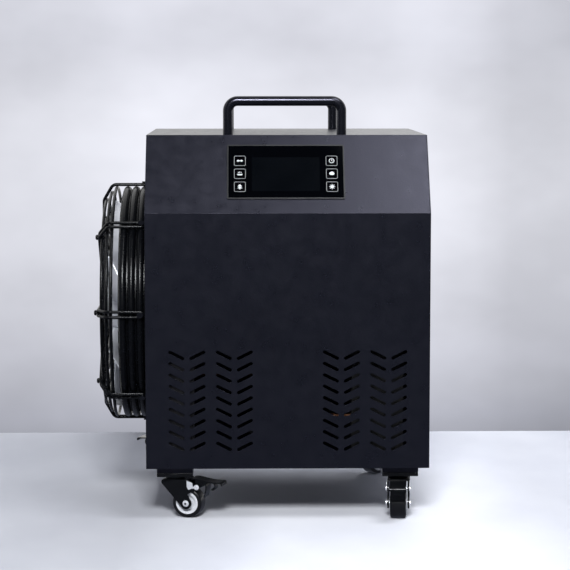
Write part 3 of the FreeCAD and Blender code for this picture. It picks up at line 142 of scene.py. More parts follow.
COOL = (0.80, 0.79, 1.0, 1)
POWDER = coated(
    "powder_coat", (0.0029, 0.0034, 0.0057), (0.0037, 0.0043, 0.0070), 0.3, 480.0, 0.4, Specular_Tint=COOL)
ENAMEL = coated(
    "gloss_enamel", (0.0024, 0.0027, 0.0036), (0.0038, 0.0042, 0.0054), 0.22, 420.0, 0.05, Specular_Tint=COOL)
GUARD_ENAMEL = coated(
    "guard_enamel", (0.0016, 0.0018, 0.0026), (0.0026, 0.0030, 0.0040), 0.27, 420.0, 0.012,
    Specular_IOR_Level=0.2)
CASTOR_BLACK = coated(
    "castor_black", (0.0032, 0.0036, 0.0044), (0.0056, 0.0060, 0.0070), 0.2, 500.0, 0.08,
    Specular_IOR_Level=0.25)
PLASTIC = coated("black_plastic", (0.004, 0.0044, 0.0054), (0.006, 0.0064, 0.0076), 0.36, 1500.0, 0.15)
HOSE = coated("hose_rubber", (0.014, 0.014, 0.015), (0.02, 0.02, 0.021), 0.6, 900.0, 0.2)
TYRE = coated("tyre_rubber", (0.004, 0.004, 0.005), (0.007, 0.007, 0.008), 0.3, 800.0, 0.15)
COMPRESSOR = coated("compressor_paint", (0.01, 0.01, 0.011), (0.014, 0.014, 0.016), 0.3, 700.0, 0.1)
FAN_METAL = coated("fan_metal", (0.74, 0.75, 0.79), (0.86, 0.87, 0.90), 0.45, 700.0, 0.1, Metallic=0.3)
BOARD = coated("board_green", (0.02, 0.09, 0.045), (0.03, 0.12, 0.06), 0.4, 300.0, 0.1)
RIM_PALE = coated("rim_white", (0.62, 0.63, 0.65), (0.74, 0.75, 0.77), 0.25, 300.0, 0.05)


def bare_metal(name, dark, light, rough, stretch):
    """Bright metal with fine drawing marks along it."""
    made = material(name, dark, rough, 1.0)
    ramp(made, noise(made, 25.0, 3.0), dark, light, "Base Color")
    marks = noise(made, 400.0, 2.0, stretch)
    ramp(made, marks, rough - 0.06, rough + 0.08, "Roughness")
    bump(made, marks, 0.1, 0.0001)
    return made


ZINC = coated("zinc_steel", (0.70, 0.71, 0.74), (0.86, 0.87, 0.90), 0.25, 300.0, 0.05, Metallic=0.35)
# Painted shade: the fins get a near-black base that stands for the dark inside of the cabinet seen through the
# vents.
FINS = bare_metal("fin_aluminium", (0.05, 0.05, 0.055), (0.09, 0.09, 0.1), 0.5, (1, 0.1, 1))
FOAM = coated("insulation", (0.01, 0.01, 0.011), (0.016, 0.016, 0.017), 0.8, 500.0, 0.3)
# Painted shade: the copper gets a near-black base for the same dark inside of the cabinet.
COPPER = bare_metal("copper", (0.09, 0.042, 0.025), (0.14, 0.066, 0.038), 0.4, (1, 1, 0.3))

GLASS = material("display_glass", (0.0008, 0.0010, 0.0016), 0.06, Specular_IOR_Level=0.01)
ramp(GLASS, noise(GLASS, 14.0, 2.0), 0.05, 0.08, "Roughness")
LCD = material("lcd_window", (0.002, 0.0026, 0.0036), 0.12, Specular_IOR_Level=0.01)
ramp(LCD, noise(LCD, 20.0, 2.0), (0.0014, 0.0019, 0.0027), (0.0022, 0.0028, 0.0038), "Base Color")
LINE = material("key_outline", (0.26, 0.265, 0.27), 0.5)
ramp(LINE, noise(LINE, 200.0, 2.0), (0.22, 0.225, 0.23), (0.30, 0.305, 0.31), "Base Color")
ICON = material("key_icon", (0.62, 0.63, 0.64), 0.5)
ramp(ICON, noise(ICON, 200.0, 2.0), (0.56, 0.57, 0.58), (0.70, 0.71, 0.72), "Base Color")

SLOTS = {
    "powder_coat": POWDER, "gloss_enamel": ENAMEL, "castor_black": CASTOR_BLACK, "black_plastic": PLASTIC,
    "display_glass": GLASS, "board_green": BOARD, "fan_metal": FAN_METAL, "zinc_steel": ZINC,
    "rim_white": RIM_PALE, "tyre_rubber": TYRE, "compressor_paint": COMPRESSOR, "fin_aluminium": FINS,
    "copper": COPPER, "hose_rubber": HOSE, "insulation": FOAM,
}
slot_of = {part["node"]: part["material_slot"] for part in frame["record"]["subparts"]}
body_of = {name: body for body, names in frame["record"]["behaviour"]["bodies"].items() for name in names}


# Pieces

def shade(mesh, angle):
    """Smooth shading, broken at edges sharper than this angle."""
    mesh.polygons.foreach_set("use_smooth", [True] * len(mesh.polygons))
    mesh.set_sharp_from_angle(angle=math.radians(angle))


def piece(name, mesh, finish, body="root", replaced=(), smooth=35.0):
    """A new piece of the visual model, on its body and with its finish."""
    made = bpy.data.objects.new(name, mesh)
    bpy.context.collection.objects.link(made)
    mesh.materials.clear()
    mesh.materials.append(finish)
    shade(mesh, smooth)
    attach(made, body)
    if replaced:
        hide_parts(*replaced)
    return made


def finished(mesh, work):
    """The mesh, filled from its working copy."""
    work.normal_update()
    work.to_mesh(mesh)
    work.free()
    return mesh


def rolled_edges(made, width):
    """A small round along the sharp edges of a piece."""
    rolled = made.modifiers.new("edges", "BEVEL")
    rolled.width = width
    rolled.segments = 2
    rolled.limit_method = "ANGLE"
    rolled.angle_limit = math.radians(30)
    rolled.harden_normals = True


def softened(name, width):
    """A CAD piece with its sharp edges rolled over, as sheet and mouldings have them."""
    source = frame["nodes"][name]
    mesh = source.data.copy()
    work = bmesh.new()
    work.from_mesh(mesh)
    work.transform(source.matrix_world)
    bmesh.ops.remove_doubles(work, verts=work.verts, dist=1e-6)
    bmesh.ops.dissolve_limit(work, angle_limit=math.radians(1), verts=work.verts, edges=work.edges)
    finished(mesh, work)
    made = piece(name + "_soft", mesh, SLOTS[slot_of[name]], body_of[name], [name], 30.0)
    rolled_edges(made, width)


def circle(radius, height, steps):
    """Points round the local Z axis, in millimetres."""
    turns = [TAU * i / steps for i in range(steps)]
    return [Vector((radius * math.cos(t), radius * math.sin(t), height)) for t in turns]


def lathe(name, profile, space, steps=96):
    """A mesh turned about the local Z axis from (radius, height) pairs in millimetres."""
    work = bmesh.new()
    rings = []
    for radius, height in profile:
        around = circle(radius, height, steps) if radius > 0 else [(0, 0, height)]
        rings.append([work.verts.new(point) for point in around])
    for a, b in zip(rings, rings[1:]):
        for i in range(steps):
            j = (i + 1) % steps
            corners = [a[i % len(a)], a[j % len(a)], b[j % len(b)], b[i % len(b)]]
            unique = list(dict.fromkeys(corners))
            if len(unique) > 2:
                work.faces.new(unique)
    bmesh.ops.recalc_face_normals(work, faces=work.faces)
    work.transform(Matrix.Scale(MM, 4) @ space)
    return finished(bpy.data.meshes.new(name), work)


def arc(cx, cy, radius, start, stop, steps):
    """Points along an arc, its angles in degrees."""
    turns = [math.radians(start + (stop - start) * i / steps) for i in range(steps + 1)]
    return [(cx + radius * math.cos(t), cy + radius * math.sin(t)) for t in turns]


def bent(points, radii, steps=7):
    """The line of a wire through these corners, with a round bend at each inner one."""
    line = [Vector(points[0])]
    for before, corner, after, radius in zip(points, points[1:], points[2:], radii):
        corner = Vector(corner)
        a, b = (Vector(before) - corner).normalized(), (Vector(after) - corner).normalized()
        half = a.angle(b) / 2
        first, last = corner + a * (radius / math.tan(half)), corner + b * (radius / math.tan(half))
        centre = corner + (a + b).normalized() * (radius / math.sin(half))
        start, stop = (first - centre).normalized(), (last - centre).normalized()
        for i in range(steps + 1):
            line.append(centre + start.slerp(stop, i / steps) * radius)
    line.append(Vector(points[-1]))
    return line


def wires(name, lines, radius, space, closed=False, sides=10):
    """One mesh of round wires along these lines, in millimetres; closed ones lie level."""
    work = bmesh.new()
    turns = [TAU * k / sides for k in range(sides)]
    for line in lines:
        count = len(line)
        rings = []
        normal = Vector((0, 0, 1)) if closed else (line[1] - line[0]).normalized().orthogonal().normalized()
        for i, point in enumerate(line):
            before = line[i - 1] if closed or i else point
            after = line[(i + 1) % count] if closed or i + 1 < count else point
            along = (after - before).normalized()
            normal = (normal - along * normal.dot(along)).normalized()
            other = along.cross(normal)
            around = [(normal * math.cos(t) + other * math.sin(t)) * radius for t in turns]
            rings.append([work.verts.new(point + out) for out in around])
        pairs = list(zip(rings, rings[1:])) + ([(rings[-1], rings[0])] if closed else [])
        for a, b in pairs:
            for k in range(sides):
                m = (k + 1) % sides
                work.faces.new((a[k], a[m], b[m], b[k]))
        if not closed:
            work.faces.new(rings[0])
            work.faces.new(rings[-1])
    bmesh.ops.recalc_face_normals(work, faces=work.faces)
    work.transform(Matrix.Scale(MM, 4) @ space)
    return finished(bpy.data.meshes.new(name), work)


def plates(name, outlines, space, low, high):
    """Flat pieces cut to these outlines, between two heights of a local frame."""
    work = bmesh.new()
    for outline in outlines:
        bottom = [work.verts.new((x, y, low)) for x, y in outline]
        top = [work.verts.new((x, y, high)) for x, y in outline]
        count = len(outline)
        work.faces.new(top)
        work.faces.new(bottom[::-1])
        for i in range(count):
            j = (i + 1) % count
            work.faces.new((bottom[i], bottom[j], top[j], top[i]))
    bmesh.ops.recalc_face_normals(work, faces=work.faces)
    work.transform(Matrix.Scale(MM, 4) @ space)
    return finished(bpy.data.meshes.new(name), work)


def strip(name, line, thick, wide, space):
    """Sheet of one thickness folded along a line in the local XZ plane, this wide along local Y."""
    count = len(line)
    left, right = [], []
    for i, point in enumerate(line):
        before, after = line[max(i - 1, 0)], line[min(i + 1, count - 1)]
        along = Vector((after[0] - before[0], after[1] - before[1])).normalized()
        side = Vector((-along.y, along.x)) * thick / 2
        left.append((point[0] + side.x, point[1] + side.y))
        right.append((point[0] - side.x, point[1] - side.y))
    outline = left + right[::-1]
    work = bmesh.new()
    near = [work.verts.new((x, -wide / 2, z)) for x, z in outline]
    far = [work.verts.new((x, wide / 2, z)) for x, z in outline]
    total = len(outline)
    for i in range(count - 1):
        a, b = i, i + 1
        c, d = total - 1 - i, total - 2 - i
        work.faces.new((near[a], near[b], near[d], near[c]))
        work.faces.new((far[a], far[c], far[d], far[b]))
    for i in range(total):
        j = (i + 1) % total
        work.faces.new((near[i], near[j], far[j], far[i]))
    bmesh.ops.recalc_face_normals(work, faces=work.faces)
    work.transform(Matrix.Scale(MM, 4) @ space)
    return finished(bpy.data.meshes.new(name), work)


def joined(name, meshes):
    """Several meshes made into one."""
    work = bmesh.new()
    for mesh in meshes:
        work.from_mesh(mesh)
        bpy.data.meshes.remove(mesh)
    return finished(bpy.data.meshes.new(name), work)


def smooth_line(corners, steps=5):
    """A soft line through the middles of a few corners' sides, with its ends kept."""
    points = [Vector((*c, 0)) for c in corners]
    line = [points[0]]
    for before, corner, after in zip(points, points[1:], points[2:]):
        start = (before + corner) / 2
        stop = (corner + after) / 2
        for i in range(steps + 1):
            t = i / steps
            line.append(start.lerp(corner, t).lerp(corner.lerp(stop, t), t))
    line.append(points[-1])
    return [(v.x, v.y) for v in line]


# Camera at the photograph's place

lens = bpy.data.cameras.new("camera")
lens.lens = 128.58
lens.clip_end = 50
camera = bpy.data.objects.new("camera", lens)
bpy.context.collection.objects.link(camera)
camera.location = (-0.0232, -3.0399, 0.6313)
camera.rotation_euler = (math.radians(84.042), 0, math.radians(-1.147))
bpy.context.scene.camera = camera

# Every CAD piece gets its finish first
for name, shown in frame["nodes"].items():
    shown.data.materials.clear()
    shown.data.materials.append(SLOTS[slot_of[name]])

EDGES = {
    "left_side_panel": 0.0005, "right_side_panel": 0.0005, "front_panel": 0.0003, "top_panel": 0.0004,
    "rear_panel": 0.0004, "display_bezel": 0.0004, "display_glass": 0.0003, "castor_pads": 0.0006,
}
for name, width in EDGES.items():
    softened(name, width)

# Castors: round tyres and dished rims, bright bolts and bracket, and the folded brake lever.
# Outlines lie in the wheel's plane, from its axle; turned ones are pairs of radius and place along the axle.
TRAIL, DROP = 20.5, 53.5
CHEEK_OUT, LEVER_HALF = 15.7, 10.6
PIVOT_X, PIVOT_Z = 16, 24
TREAD_HALF, TREAD_ROUND = 11.3, 2.8
SHOULDERS = [*arc(18.7, -8.5, TREAD_ROUND, -90, 0, 7), *arc(18.7, 8.5, TREAD_ROUND, 0, 90, 7)]
TREAD = [
    (16.5, -TREAD_HALF), (18.6, -TREAD_HALF), *SHOULDERS, (18.6, TREAD_HALF), (16.5, TREAD_HALF),
    (16.5, -TREAD_HALF),
]
RIM_FACE = [
    (3.05, 12.4), (7.0, 12.4), (7.6, 11.8), (8.0, 6.5), (10.6, 5.4), (11.6, 6.0), (12.2, 10.6),
    (12.8, 11.2), (15.8, 11.2), (16.45, 10.6),
]
RIM = RIM_FACE + [(r, -h) for r, h in reversed(RIM_FACE)] + [RIM_FACE[0]]
SOCKET = [(0, 0), (1.5, 0), (1.5, 1.45), (0, 1.45)]
BRACKET = [(1.6, 33.2), (2.0, 24.0), (4.2, 20.0), (9.4, 22.2), (10.8, 25.2), (10.2, 30.2)]
TAB = [(9.4, 22.2), (17.4, 22.9), (17.4, 25.4), (10.8, 25.2)]
LEVER_TREAD = smooth_line([
    (7.0, 34.8), (12.0, 35.4), (22.0, 33.4), (33.0, 31.2), (46.0, 30.8), (51.6, 30.9), (51.8, 26.9)])
LEVER_SHOE = smooth_line([(19.0, 30.6), (27.6, 30.0), (29.0, 22.0), (26.6, 13.5), (25.2, 8.8)])
LEVER_HOOK = smooth_line([(34.0, 30.4), (40.2, 28.6), (40.6, 21.4), (37.0, 18.6), (35.0, 20.6)])
LEVER_EAR = [
    (12.4, 24.4), (13.6, 21.6), (17.6, 20.9), (20.4, 23.4), (26.8, 27.4), (30.4, 30.6), (17.0, 34.8),
    (12.6, 33.4),
]
LEVER_BUSH = [(2.1, -10.4), (3.6, -10.4), (3.6, 10.4), (2.1, 10.4), (2.1, -10.4)]
LEVER_FOLDS = (
    ("tread", LEVER_TREAD, 1.6, 23.6), ("shoe", LEVER_SHOE, 1.6, 21.0), ("hook", LEVER_HOOK, 1.5, 12.0),
)


def beside(axle, x, y, z, side):
    """A frame at a place by the wheel, its Z axis along the axle toward one side."""
    return axle @ Matrix.Translation((x, side * y, z)) @ Matrix.Rotation(-side * math.pi / 2, 4, "X")


def upright(axle, y):
    """A frame beside the wheel for outlines that stand in its plane."""
    return axle @ Matrix.Translation((0, y, 0)) @ Matrix.Rotation(math.pi / 2, 4, "X")


def bolt_head(radius, reach):
    """A flanged head with a domed crown and a dimple, from its seat outward."""
    return [
        (radius + 0.9, 0), (radius + 0.9, 0.5), (radius, 0.8), (radius, reach - 0.7), (radius - 0.9, reach),
        (1.7, reach), (1.4, reach - 0.8), (0, reach - 0.9),
    ]


def castor_bolts(axle):
    """The axle bolt and the lever's pivot, each with a head on both cheeks."""
    turned = []
    for x, z, shank, head in ((0, 0, 3.0, 3.7), (PIVOT_X, PIVOT_Z, 2.0, 2.9)):
        for side in (-1, 1):
            turned.append(lathe("head", bolt_head(head, 2.4), beside(axle, x, CHEEK_OUT, z, side), 24))
        outline = [(0, 0), (shank, 0), (shank, 2 * CHEEK_OUT), (0, 2 * CHEEK_OUT)]
        turned.append(lathe("shank", outline, beside(axle, x, -CHEEK_OUT, z, 1), 20))
    return turned


def castor_brackets(axle):
    """Bright sheets on both cheeks, each with a tab toward the lever."""
    sheets = []
    for side in (-1, 1):
        cheek = upright(axle, side * (CHEEK_OUT + 0.5))
        for kind, outline in (("bracket", BRACKET), ("tab", TAB)):
            sheets.append(plates(kind, [outline], cheek, -0.4, 0.4))
    return sheets


def castor_lever(axle):
    """The brake lever, folded from sheet round a bush on its pivot."""
    folds = [lathe("bush", LEVER_BUSH, beside(axle, PIVOT_X, 0, PIVOT_Z, 1), 20)]
    for kind, line, thick, wide in LEVER_FOLDS:
        folds.append(strip(kind, line, thick, wide, axle))
    for side in (-1, 1):
        folds.append(plates("ear", [LEVER_EAR], upright(axle, side * LEVER_HALF), -0.8, 0.8))
    return folds


def castor_piece(name, part, meshes, finish, body, replaced=()):
    """A piece of a castor, joined from several meshes."""
    title = name + part
    return piece(title, joined(title, meshes), finish, name + body, replaced)


for name in CASTORS:
    axle = castor_space(name) @ Matrix.Translation((TRAIL, 0, -DROP))
    wheel = beside(axle, 0, 0, 0, 1)
    roller = name + "_roller"
    softened(name + "_plate", 0.0009)
    softened(name + "_fork", 0.0004)
    piece(name + "_tread", lathe("tread", TREAD, wheel, 64), TYRE, roller, [name + "_tyre"], 40)
    piece(name + "_rim", lathe("rim", RIM, wheel, 64), RIM_PALE, roller, [name + "_wheel"], 30)
    castor_piece(name, "_heads", castor_bolts(axle), ZINC, "_swivel", [name + "_bolts"])
    sockets = [lathe("socket", SOCKET, beside(axle, 0, CHEEK_OUT + 1.0, 0, side), 20) for side in (-1, 1)]
    castor_piece(name, "_sockets", sockets, CASTOR_BLACK, "_swivel")
    bracket = castor_piece(name, "_bracket", castor_brackets(axle), ZINC, "_swivel")
    rolled_edges(bracket, 0.0003)
    lever = castor_piece(
        name, "_lever_folded", castor_lever(axle), CASTOR_BLACK, "_lever", [name + "_brake"])
    rolled_edges(lever, 0.0003)

# Shroud: three fat pressed hoops on a rolled duct
DUCT_IN, DUCT_OUT, DUCT_LONG = 161.0, 163.0, 40.5
RIB_OUT, RIB_ROUND, RIB_FIRST, RIB_PITCH = 172.0, 5.3, 9, 12.4
FLANGE_OUT, FLANGE_THICK = 181.0, 2.0
profile = [
    (DUCT_IN, 0.0), (FLANGE_OUT, 0.0), (FLANGE_OUT, FLANGE_THICK - 0.4), (FLANGE_OUT - 0.4, FLANGE_THICK),
    (DUCT_OUT, FLANGE_THICK),
]
for i in range(3):
    middle = RIB_FIRST + RIB_PITCH * i
    crown = arc(RIB_OUT - RIB_ROUND, middle, RIB_ROUND, -90, 90, 16)
    profile += [(DUCT_OUT, middle - RIB_ROUND), *crown, (DUCT_OUT, middle + RIB_ROUND)]
profile += [(DUCT_OUT, DUCT_LONG - 0.5), (DUCT_OUT - 0.5, DUCT_LONG), (DUCT_IN, DUCT_LONG), (DUCT_IN, 0.0)]
hoops = lathe("fan_hoops", profile, FAN_SPACE, 160)
piece("fan_hoops", hoops, GUARD_ENAMEL, replaced=["fan_shroud"], smooth=50)

# Guard of round wires: eight arms of two wires with an eye at the wall, rings, a centre disc and bolts
WIRE, PAIR = 2.3, 3.8
REACH, SHOULDER, WALL, RING, FOOT = 69.2, 152.0, 56.0, 174.6, 4.6
ARMS, ARM_START, ARM_BEND = 8, 38, 9
RING_STEP, OUTER_RINGS = 26, [(170.0, 50.0), (163.0, 57.0)]
BOLTED_ARMS = (1, 2, 3, 5, 6, 7)
HUB = [(0, 64.4), (45.4, 64.4), (46, 65.0), (46, 66.3), (45.4, 66.9), (0, 66.9)]
DOME = [
    (0, 60.0), (2.0, 60.0), (2.0, 71.5), (3.4, 71.5), (3.8, 71.9), (3.9, 73.0), (3.5, 74.2), (2.4, 75.0),
    (0, 75.2),
]
turns = [math.radians(a) for a in range(0, 181, 20)]
eye = [Vector((RING, PAIR * math.cos(t), FOOT + PAIR - PAIR * math.sin(t))) for t in turns]
corners = [(ARM_START, PAIR, REACH), (SHOULDER, PAIR, REACH), (RING, PAIR, WALL), tuple(eye[0])]
half_out = bent(corners, [ARM_BEND, ARM_BEND])
half_home = [Vector((p.x, -p.y, p.z)) for p in reversed(half_out)]
arm = half_out[:-1] + eye + half_home[1:]
arms = [[Matrix.Rotation(TAU * i / ARMS, 3, "Z") @ p for p in arm] for i in range(ARMS)]
levels = [(SHOULDER - RING_STEP * i, REACH - 2 * WIRE) for i in range(5)] + OUTER_RINGS
rings = [circle(radius, height, 120) for radius, height in levels]
arm_wires = wires("guard_wires", arms, WIRE, FAN_SPACE)
piece("guard_wires", arm_wires, GUARD_ENAMEL, replaced=["fan_guard"], smooth=60)
ring_wires = wires("guard_rings", rings, WIRE, FAN_SPACE, True)
piece("guard_rings", ring_wires, GUARD_ENAMEL, smooth=60)
piece("guard_hub", lathe("guard_hub", HUB, FAN_SPACE), GUARD_ENAMEL)
domes = []
for i in BOLTED_ARMS:
    seat = Matrix.Rotation(TAU * i / ARMS, 4, "Z") @ Matrix.Translation((SHOULDER - 2 * WIRE, 0, 0))
    domes.append(lathe("dome", DOME, FAN_SPACE @ seat, 20))
dome_mesh = joined("guard_domes", domes)
piece("guard_domes", dome_mesh, GUARD_ENAMEL, replaced=["guard_bolts"], smooth=40)

# Display: window, keys and their plain signs, in millimetres on the slope and down from its top
GLASS_TOP, PRINT_LOW = 1.8, 1.5
WINDOW_DOWN, WINDOW_WIDE, WINDOW_TALL = 65.8, 95.5, 55
KEY_COLUMN, KEY_ROWS = 64.8, (44.0, 65.2, 86.4)
KEY_OUT, KEY_IN = (16.4, 16.4, 2.2), (15.0, 15.0, 1.5)
SIGN_SCALE = 0.84


def from_top(down):
    """Height on the slope of a place this far below its top."""
    return SLOPE_LONG - down


def rounded(cx, cy, wide, tall, radius):
    """An outline of a rectangle with round corners."""
    corners = []
    for sx, sy, start in ((1, 1, 0), (-1, 1, 90), (-1, -1, 180), (1, -1, 270)):
        x, y = cx + sx * (wide / 2 - radius), cy + sy * (tall / 2 - radius)
        corners += arc(x, y, radius, start, start + 90, 4)
    return corners


def ring_strip(outer, inner):
    """Quads between two outlines of equal count."""
    count = len(outer)
    return [[outer[i], outer[(i + 1) % count], inner[(i + 1) % count], inner[i]] for i in range(count)]


def bar(x0, y0, x1, y1, thick):
    """A short straight stroke."""
    along = Vector((x1 - x0, y1 - y0)).normalized() * thick / 2
    side = Vector((-along.y, along.x))
    start, stop = Vector((x0, y0)), Vector((x1, y1))
    return [tuple(start - side), tuple(stop - side), tuple(stop + side), tuple(start + side)]


def printed(name, outlines, height, finish):
    """Flat marks that stand this high over the glass."""
    marks = plates(name, outlines, SLOPE_SPACE, PRINT_LOW, GLASS_TOP + height)
    piece(name, marks, finish)


def circle_outline(radius):
    """An outline of a round mark."""
    return arc(0, 0, radius, 0, 345, 23)


def ray(turn):
    """A short stroke away from the middle."""
    return bar(3.6 * math.cos(turn), 3.6 * math.sin(turn), 5.0 * math.cos(turn), 5.0 * math.sin(turn), 1.2)


FLOW = [[(-5.4, 0), (-2.2, 2.6), (-2.2, -2.6)], [(5.4, 0), (2.2, -2.6), (2.2, 2.6)], bar(-2.3, 0, 2.3, 0, 1.7)]
BATH = [
    [(-4.8, -0.6), (-3.2, -3.0), (3.2, -3.0), (4.8, -0.6)], bar(-2.4, 0.8, -2.4, 3.4, 1.0),
    bar(0, 0.8, 0, 4.2, 1.0), bar(2.4, 0.8, 2.4, 3.4, 1.0),
]
TREE = [[(0, 5.0), (-3.9, 0.6), (3.9, 0.6)], [(0, 1.2), (-4.2, -3.0), (4.2, -3.0)], bar(0, -2.6, 0, -4.8, 2.0)]
DIAL = ring_strip(circle_outline(4.6), circle_outline(3.5))
DIAL += [bar(0, 0.1, 0, 2.4, 0.9), bar(0, 0, 1.9, -1.0, 0.9)]
CLOUD = [arc(-1.4, 0.4, 2.9, 90, 270, 8) + arc(1.6, 0.2, 2.7, -90, 90, 8), arc(0.4, 1.6, 2.6, 0, 180, 8)]
SUN = [circle_outline(3.1)] + [ray(TAU * k / 8) for k in range(8)]

lines, signs = [], []
for column, shown in ((-KEY_COLUMN, (FLOW, BATH, TREE)), (KEY_COLUMN, (DIAL, CLOUD, SUN))):
    for down, sign in zip(KEY_ROWS, shown):
        y = from_top(down)
        lines += ring_strip(rounded(column, y, *KEY_OUT), rounded(column, y, *KEY_IN))
        signs += [[(column + SIGN_SCALE * px, y + SIGN_SCALE * py) for px, py in shape] for shape in sign]
printed("lcd_window", [rounded(0, from_top(WINDOW_DOWN), WINDOW_WIDE, WINDOW_TALL, 0.8)], 0.06, LCD)
printed("key_outlines", lines, 0.08, LINE)
printed("key_signs", signs, 0.1, ICON)

# Floor, backdrop and light

MOTTLE_SPAN = 0.34, 0.66
PATCHES = 0.84, 1.04
WALL_Y = 0.51


def mapped(made, source, out, low, high, to_low=0.0, to_high=1.0):
    """One value moved from one range to another."""
    limits = {"From Min": low, "From Max": high, "To Min": to_low, "To Max": to_high}
    spread = node(made, "ShaderNodeMapRange", **limits)
    link(made, source, out, spread, "Value")
    return spread


def stops(made, source, out, places, low=0.0, high=1.0):
    """A row of tones laid over a span of one coordinate."""
    spread = mapped(made, source, out, low, high)
    tones = node(made, "ShaderNodeValToRGB")
    row = tones.color_ramp.elements
    for _ in places[2:]:
        row.new(0.5)
    for element, (place, tone) in zip(row, places):
        element.position = (place - low) / (high - low)
        element.color = (*tone, 1)
    link(made, spread, "Result", tones, "Fac")
    return tones


def product(made, a, b):
    """Two colours multiplied."""
    both = node(made, "ShaderNodeVectorMath", operation="MULTIPLY")
    link(made, a, "Color", both, 0)
    link(made, b, "Color", both, 1)
    return both


def either(made, chooser, out, first, second):
    """The first shader where the chooser is 0, the second where it is 1."""
    mix = node(made, "ShaderNodeMixShader")
    link(made, chooser, out, mix, 0)
    link(made, first, 0, mix, 1)
    link(made, second, 0, mix, 2)
    return mix


def stage_plane(name, corners, low, high, scale, painted_reflection, painted_side_shade, painted_wall_tones=None):
    """A mottled plane with painted side shade, darker to its sides; shiny pieces mirror painted reflection
    tones of it, set along its depth, which glow in their reflections. A wall also glows for the camera with
    painted tones by height, darkest at its foot as a painted shadow, and is open from behind and to the lamps."""
    mesh = bpy.data.meshes.new(name)
    mesh.from_pydata(corners, [], [(0, 1, 2, 3)])
    made = bpy.data.objects.new(name, mesh)
    bpy.context.collection.objects.link(made)
    finish = material(name, low, 0.7, Specular_IOR_Level=0.1)
    shader = finish.node_tree.nodes["Principled BSDF"]
    mottle = noise(finish, scale, 4.0, (1.0, 0.6, 1.6))
    tones = ramp(finish, mottle, low, high, "Base Color", *MOTTLE_SPAN)
    path = node(finish, "ShaderNodeLightPath")
    split = node(finish, "ShaderNodeSeparateXYZ")
    link(finish, node(finish, "ShaderNodeTexCoord"), "Object", split, "Vector")
    # Painted shade: a ramp across X darkens the plane's colour toward its sides.
    side_shade_ramp = stops(finish, split, "X", [(x, (v, v, v)) for x, v in painted_side_shade], -0.6, 0.6)
    link(finish, product(finish, tones, side_shade_ramp), "Vector", shader, "Base Color")
    # Painted light: the wall glows for the camera with tones by height, darkest at its foot as a painted
    # shadow where it meets the floor; the mottle sets the glow's strength.
    if painted_wall_tones:
        wall_shade_ramp = stops(finish, split, "Z", painted_wall_tones)
        glow = node(finish, "ShaderNodeEmission")
        link(finish, product(finish, wall_shade_ramp, side_shade_ramp), "Vector", glow, "Color")
        link(finish, mapped(finish, mottle, "Fac", *MOTTLE_SPAN, *PATCHES), "Result", glow, "Strength")
        shader = either(finish, path, "Is Camera Ray", shader, glow)
    # Painted reflection: glossy rays see a glow with tones set along the plane's depth, in place of its lit
    # surface.
    reflection_glow = node(finish, "ShaderNodeEmission")
    link(finish, stops(finish, split, "Y", painted_reflection, -8.0, 1.0), "Color", reflection_glow, "Color")
    shader = either(finish, path, "Is Glossy Ray", shader, reflection_glow)
    if painted_wall_tones:
        unseen = node(finish, "ShaderNodeMath", operation="MAXIMUM")
        link(finish, node(finish, "ShaderNodeNewGeometry"), "Backfacing", unseen, 0)
        link(finish, path, "Is Shadow Ray", unseen, 1)
        shader = either(finish, unseen, "Value", shader, node(finish, "ShaderNodeBsdfTransparent"))
    link(finish, shader, 0, finish.node_tree.nodes["Material Output"], "Surface")
    mesh.materials.append(finish)


# The floor: dim tones are its painted reflection in shiny pieces, and its side tones are painted shade, darker
# to the left and a little to the far right.
stage_plane(
    "floor", [(-8, -8, 0), (8, -8, 0), (8, 8, 0), (-8, 8, 0)], (0.82, 0.83, 0.89), (0.92, 0.93, 0.98), 5.0,
    [(-8.0, (0.22, 0.24, 0.28)), (-4.5, (0.18, 0.20, 0.24)), (-2.4, (0.04, 0.045, 0.055)),
     (-1.5, (0.05, 0.055, 0.07)), (-0.8, (0.12, 0.13, 0.17))],
    [(-0.6, 0.60), (-0.19, 0.62), (0.02, 0.97), (0.30, 0.98), (0.42, 0.82), (0.6, 0.82)],
)
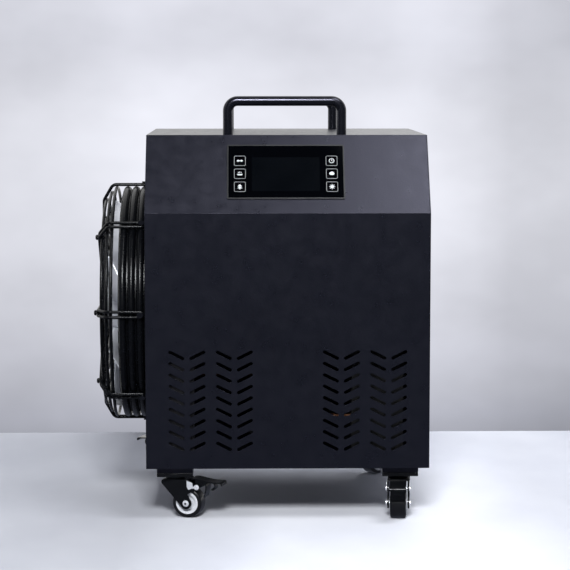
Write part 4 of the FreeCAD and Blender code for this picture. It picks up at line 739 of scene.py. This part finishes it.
# The backdrop: a white painted reflection, painted side shade toward both edges, and painted tones by height
# for the camera, darkest at its foot as a painted shadow.
stage_plane(
    "backdrop", [(-8, WALL_Y, -0.5), (8, WALL_Y, -0.5), (8, WALL_Y, 5), (-8, WALL_Y, 5)],
    (0.7, 0.71, 0.76), (0.8, 0.81, 0.86), 2.6,
    [(-8.0, (1.0, 1.0, 1.0)), (1.0, (1.0, 1.0, 1.0))],
    [(-0.40, 0.88), (-0.22, 0.99), (0.0, 1.03), (0.30, 1.01), (0.38, 0.94), (0.44, 0.84)],
    [(0.0, (0.42, 0.43, 0.49)), (0.03, (0.48, 0.49, 0.56)), (0.08, (0.57, 0.58, 0.65)),
     (0.14, (0.68, 0.69, 0.77)), (0.2, (0.76, 0.77, 0.85)), (0.32, (0.84, 0.85, 0.93)),
     (0.44, (0.88, 0.89, 0.97)), (0.56, (0.87, 0.88, 0.96)), (0.68, (0.76, 0.77, 0.85))],
)

world = bpy.data.worlds.new("studio")
bpy.context.scene.world = world
world.use_nodes = True
sky = world.node_tree.nodes["Background"]
sky.inputs["Color"].default_value = (0.76, 0.82, 1.0, 1)
sky.inputs["Strength"].default_value = 0.12
around = node(world, "ShaderNodeBackground", Color=(0.72, 0.73, 0.80, 1))
surround = either(world, node(world, "ShaderNodeLightPath"), "Is Camera Ray", sky, around)
link(world, surround, 0, world.node_tree.nodes["World Output"], "Surface")


def lamp(name, place, target, wide, tall, watts):
    """A pale rectangular lamp at a place, aimed at a target."""
    light = bpy.data.lights.new(name, "AREA")
    light.shape = "RECTANGLE"
    light.size, light.size_y = wide, tall
    light.energy = watts
    light.color = (0.95, 0.97, 1.0)
    made = bpy.data.objects.new(name, light)
    bpy.context.collection.objects.link(made)
    made.location = place
    made.rotation_euler = (Vector(target) - Vector(place)).to_track_quat("-Z", "Y").to_euler()


lamp("front", (-0.1, -3.0, 2.2), (0.0, -0.1, 0.1), 0.7, 0.7, 120)
lamp("overhead", (1.0, -1.1, 2.6), (0.5, -0.5, 0.4), 1.3, 1.0, 32)
lamp("side", (-2.2, -0.6, 1.3), (-0.2, 0.0, 0.3), 0.4, 1.8, 3.5)
lamp("rear", (0.8, 2.5, 1.7), (0.1, 0.2, 0.35), 0.8, 0.8, 9)

bpy.context.scene.view_settings.view_transform = "Standard"
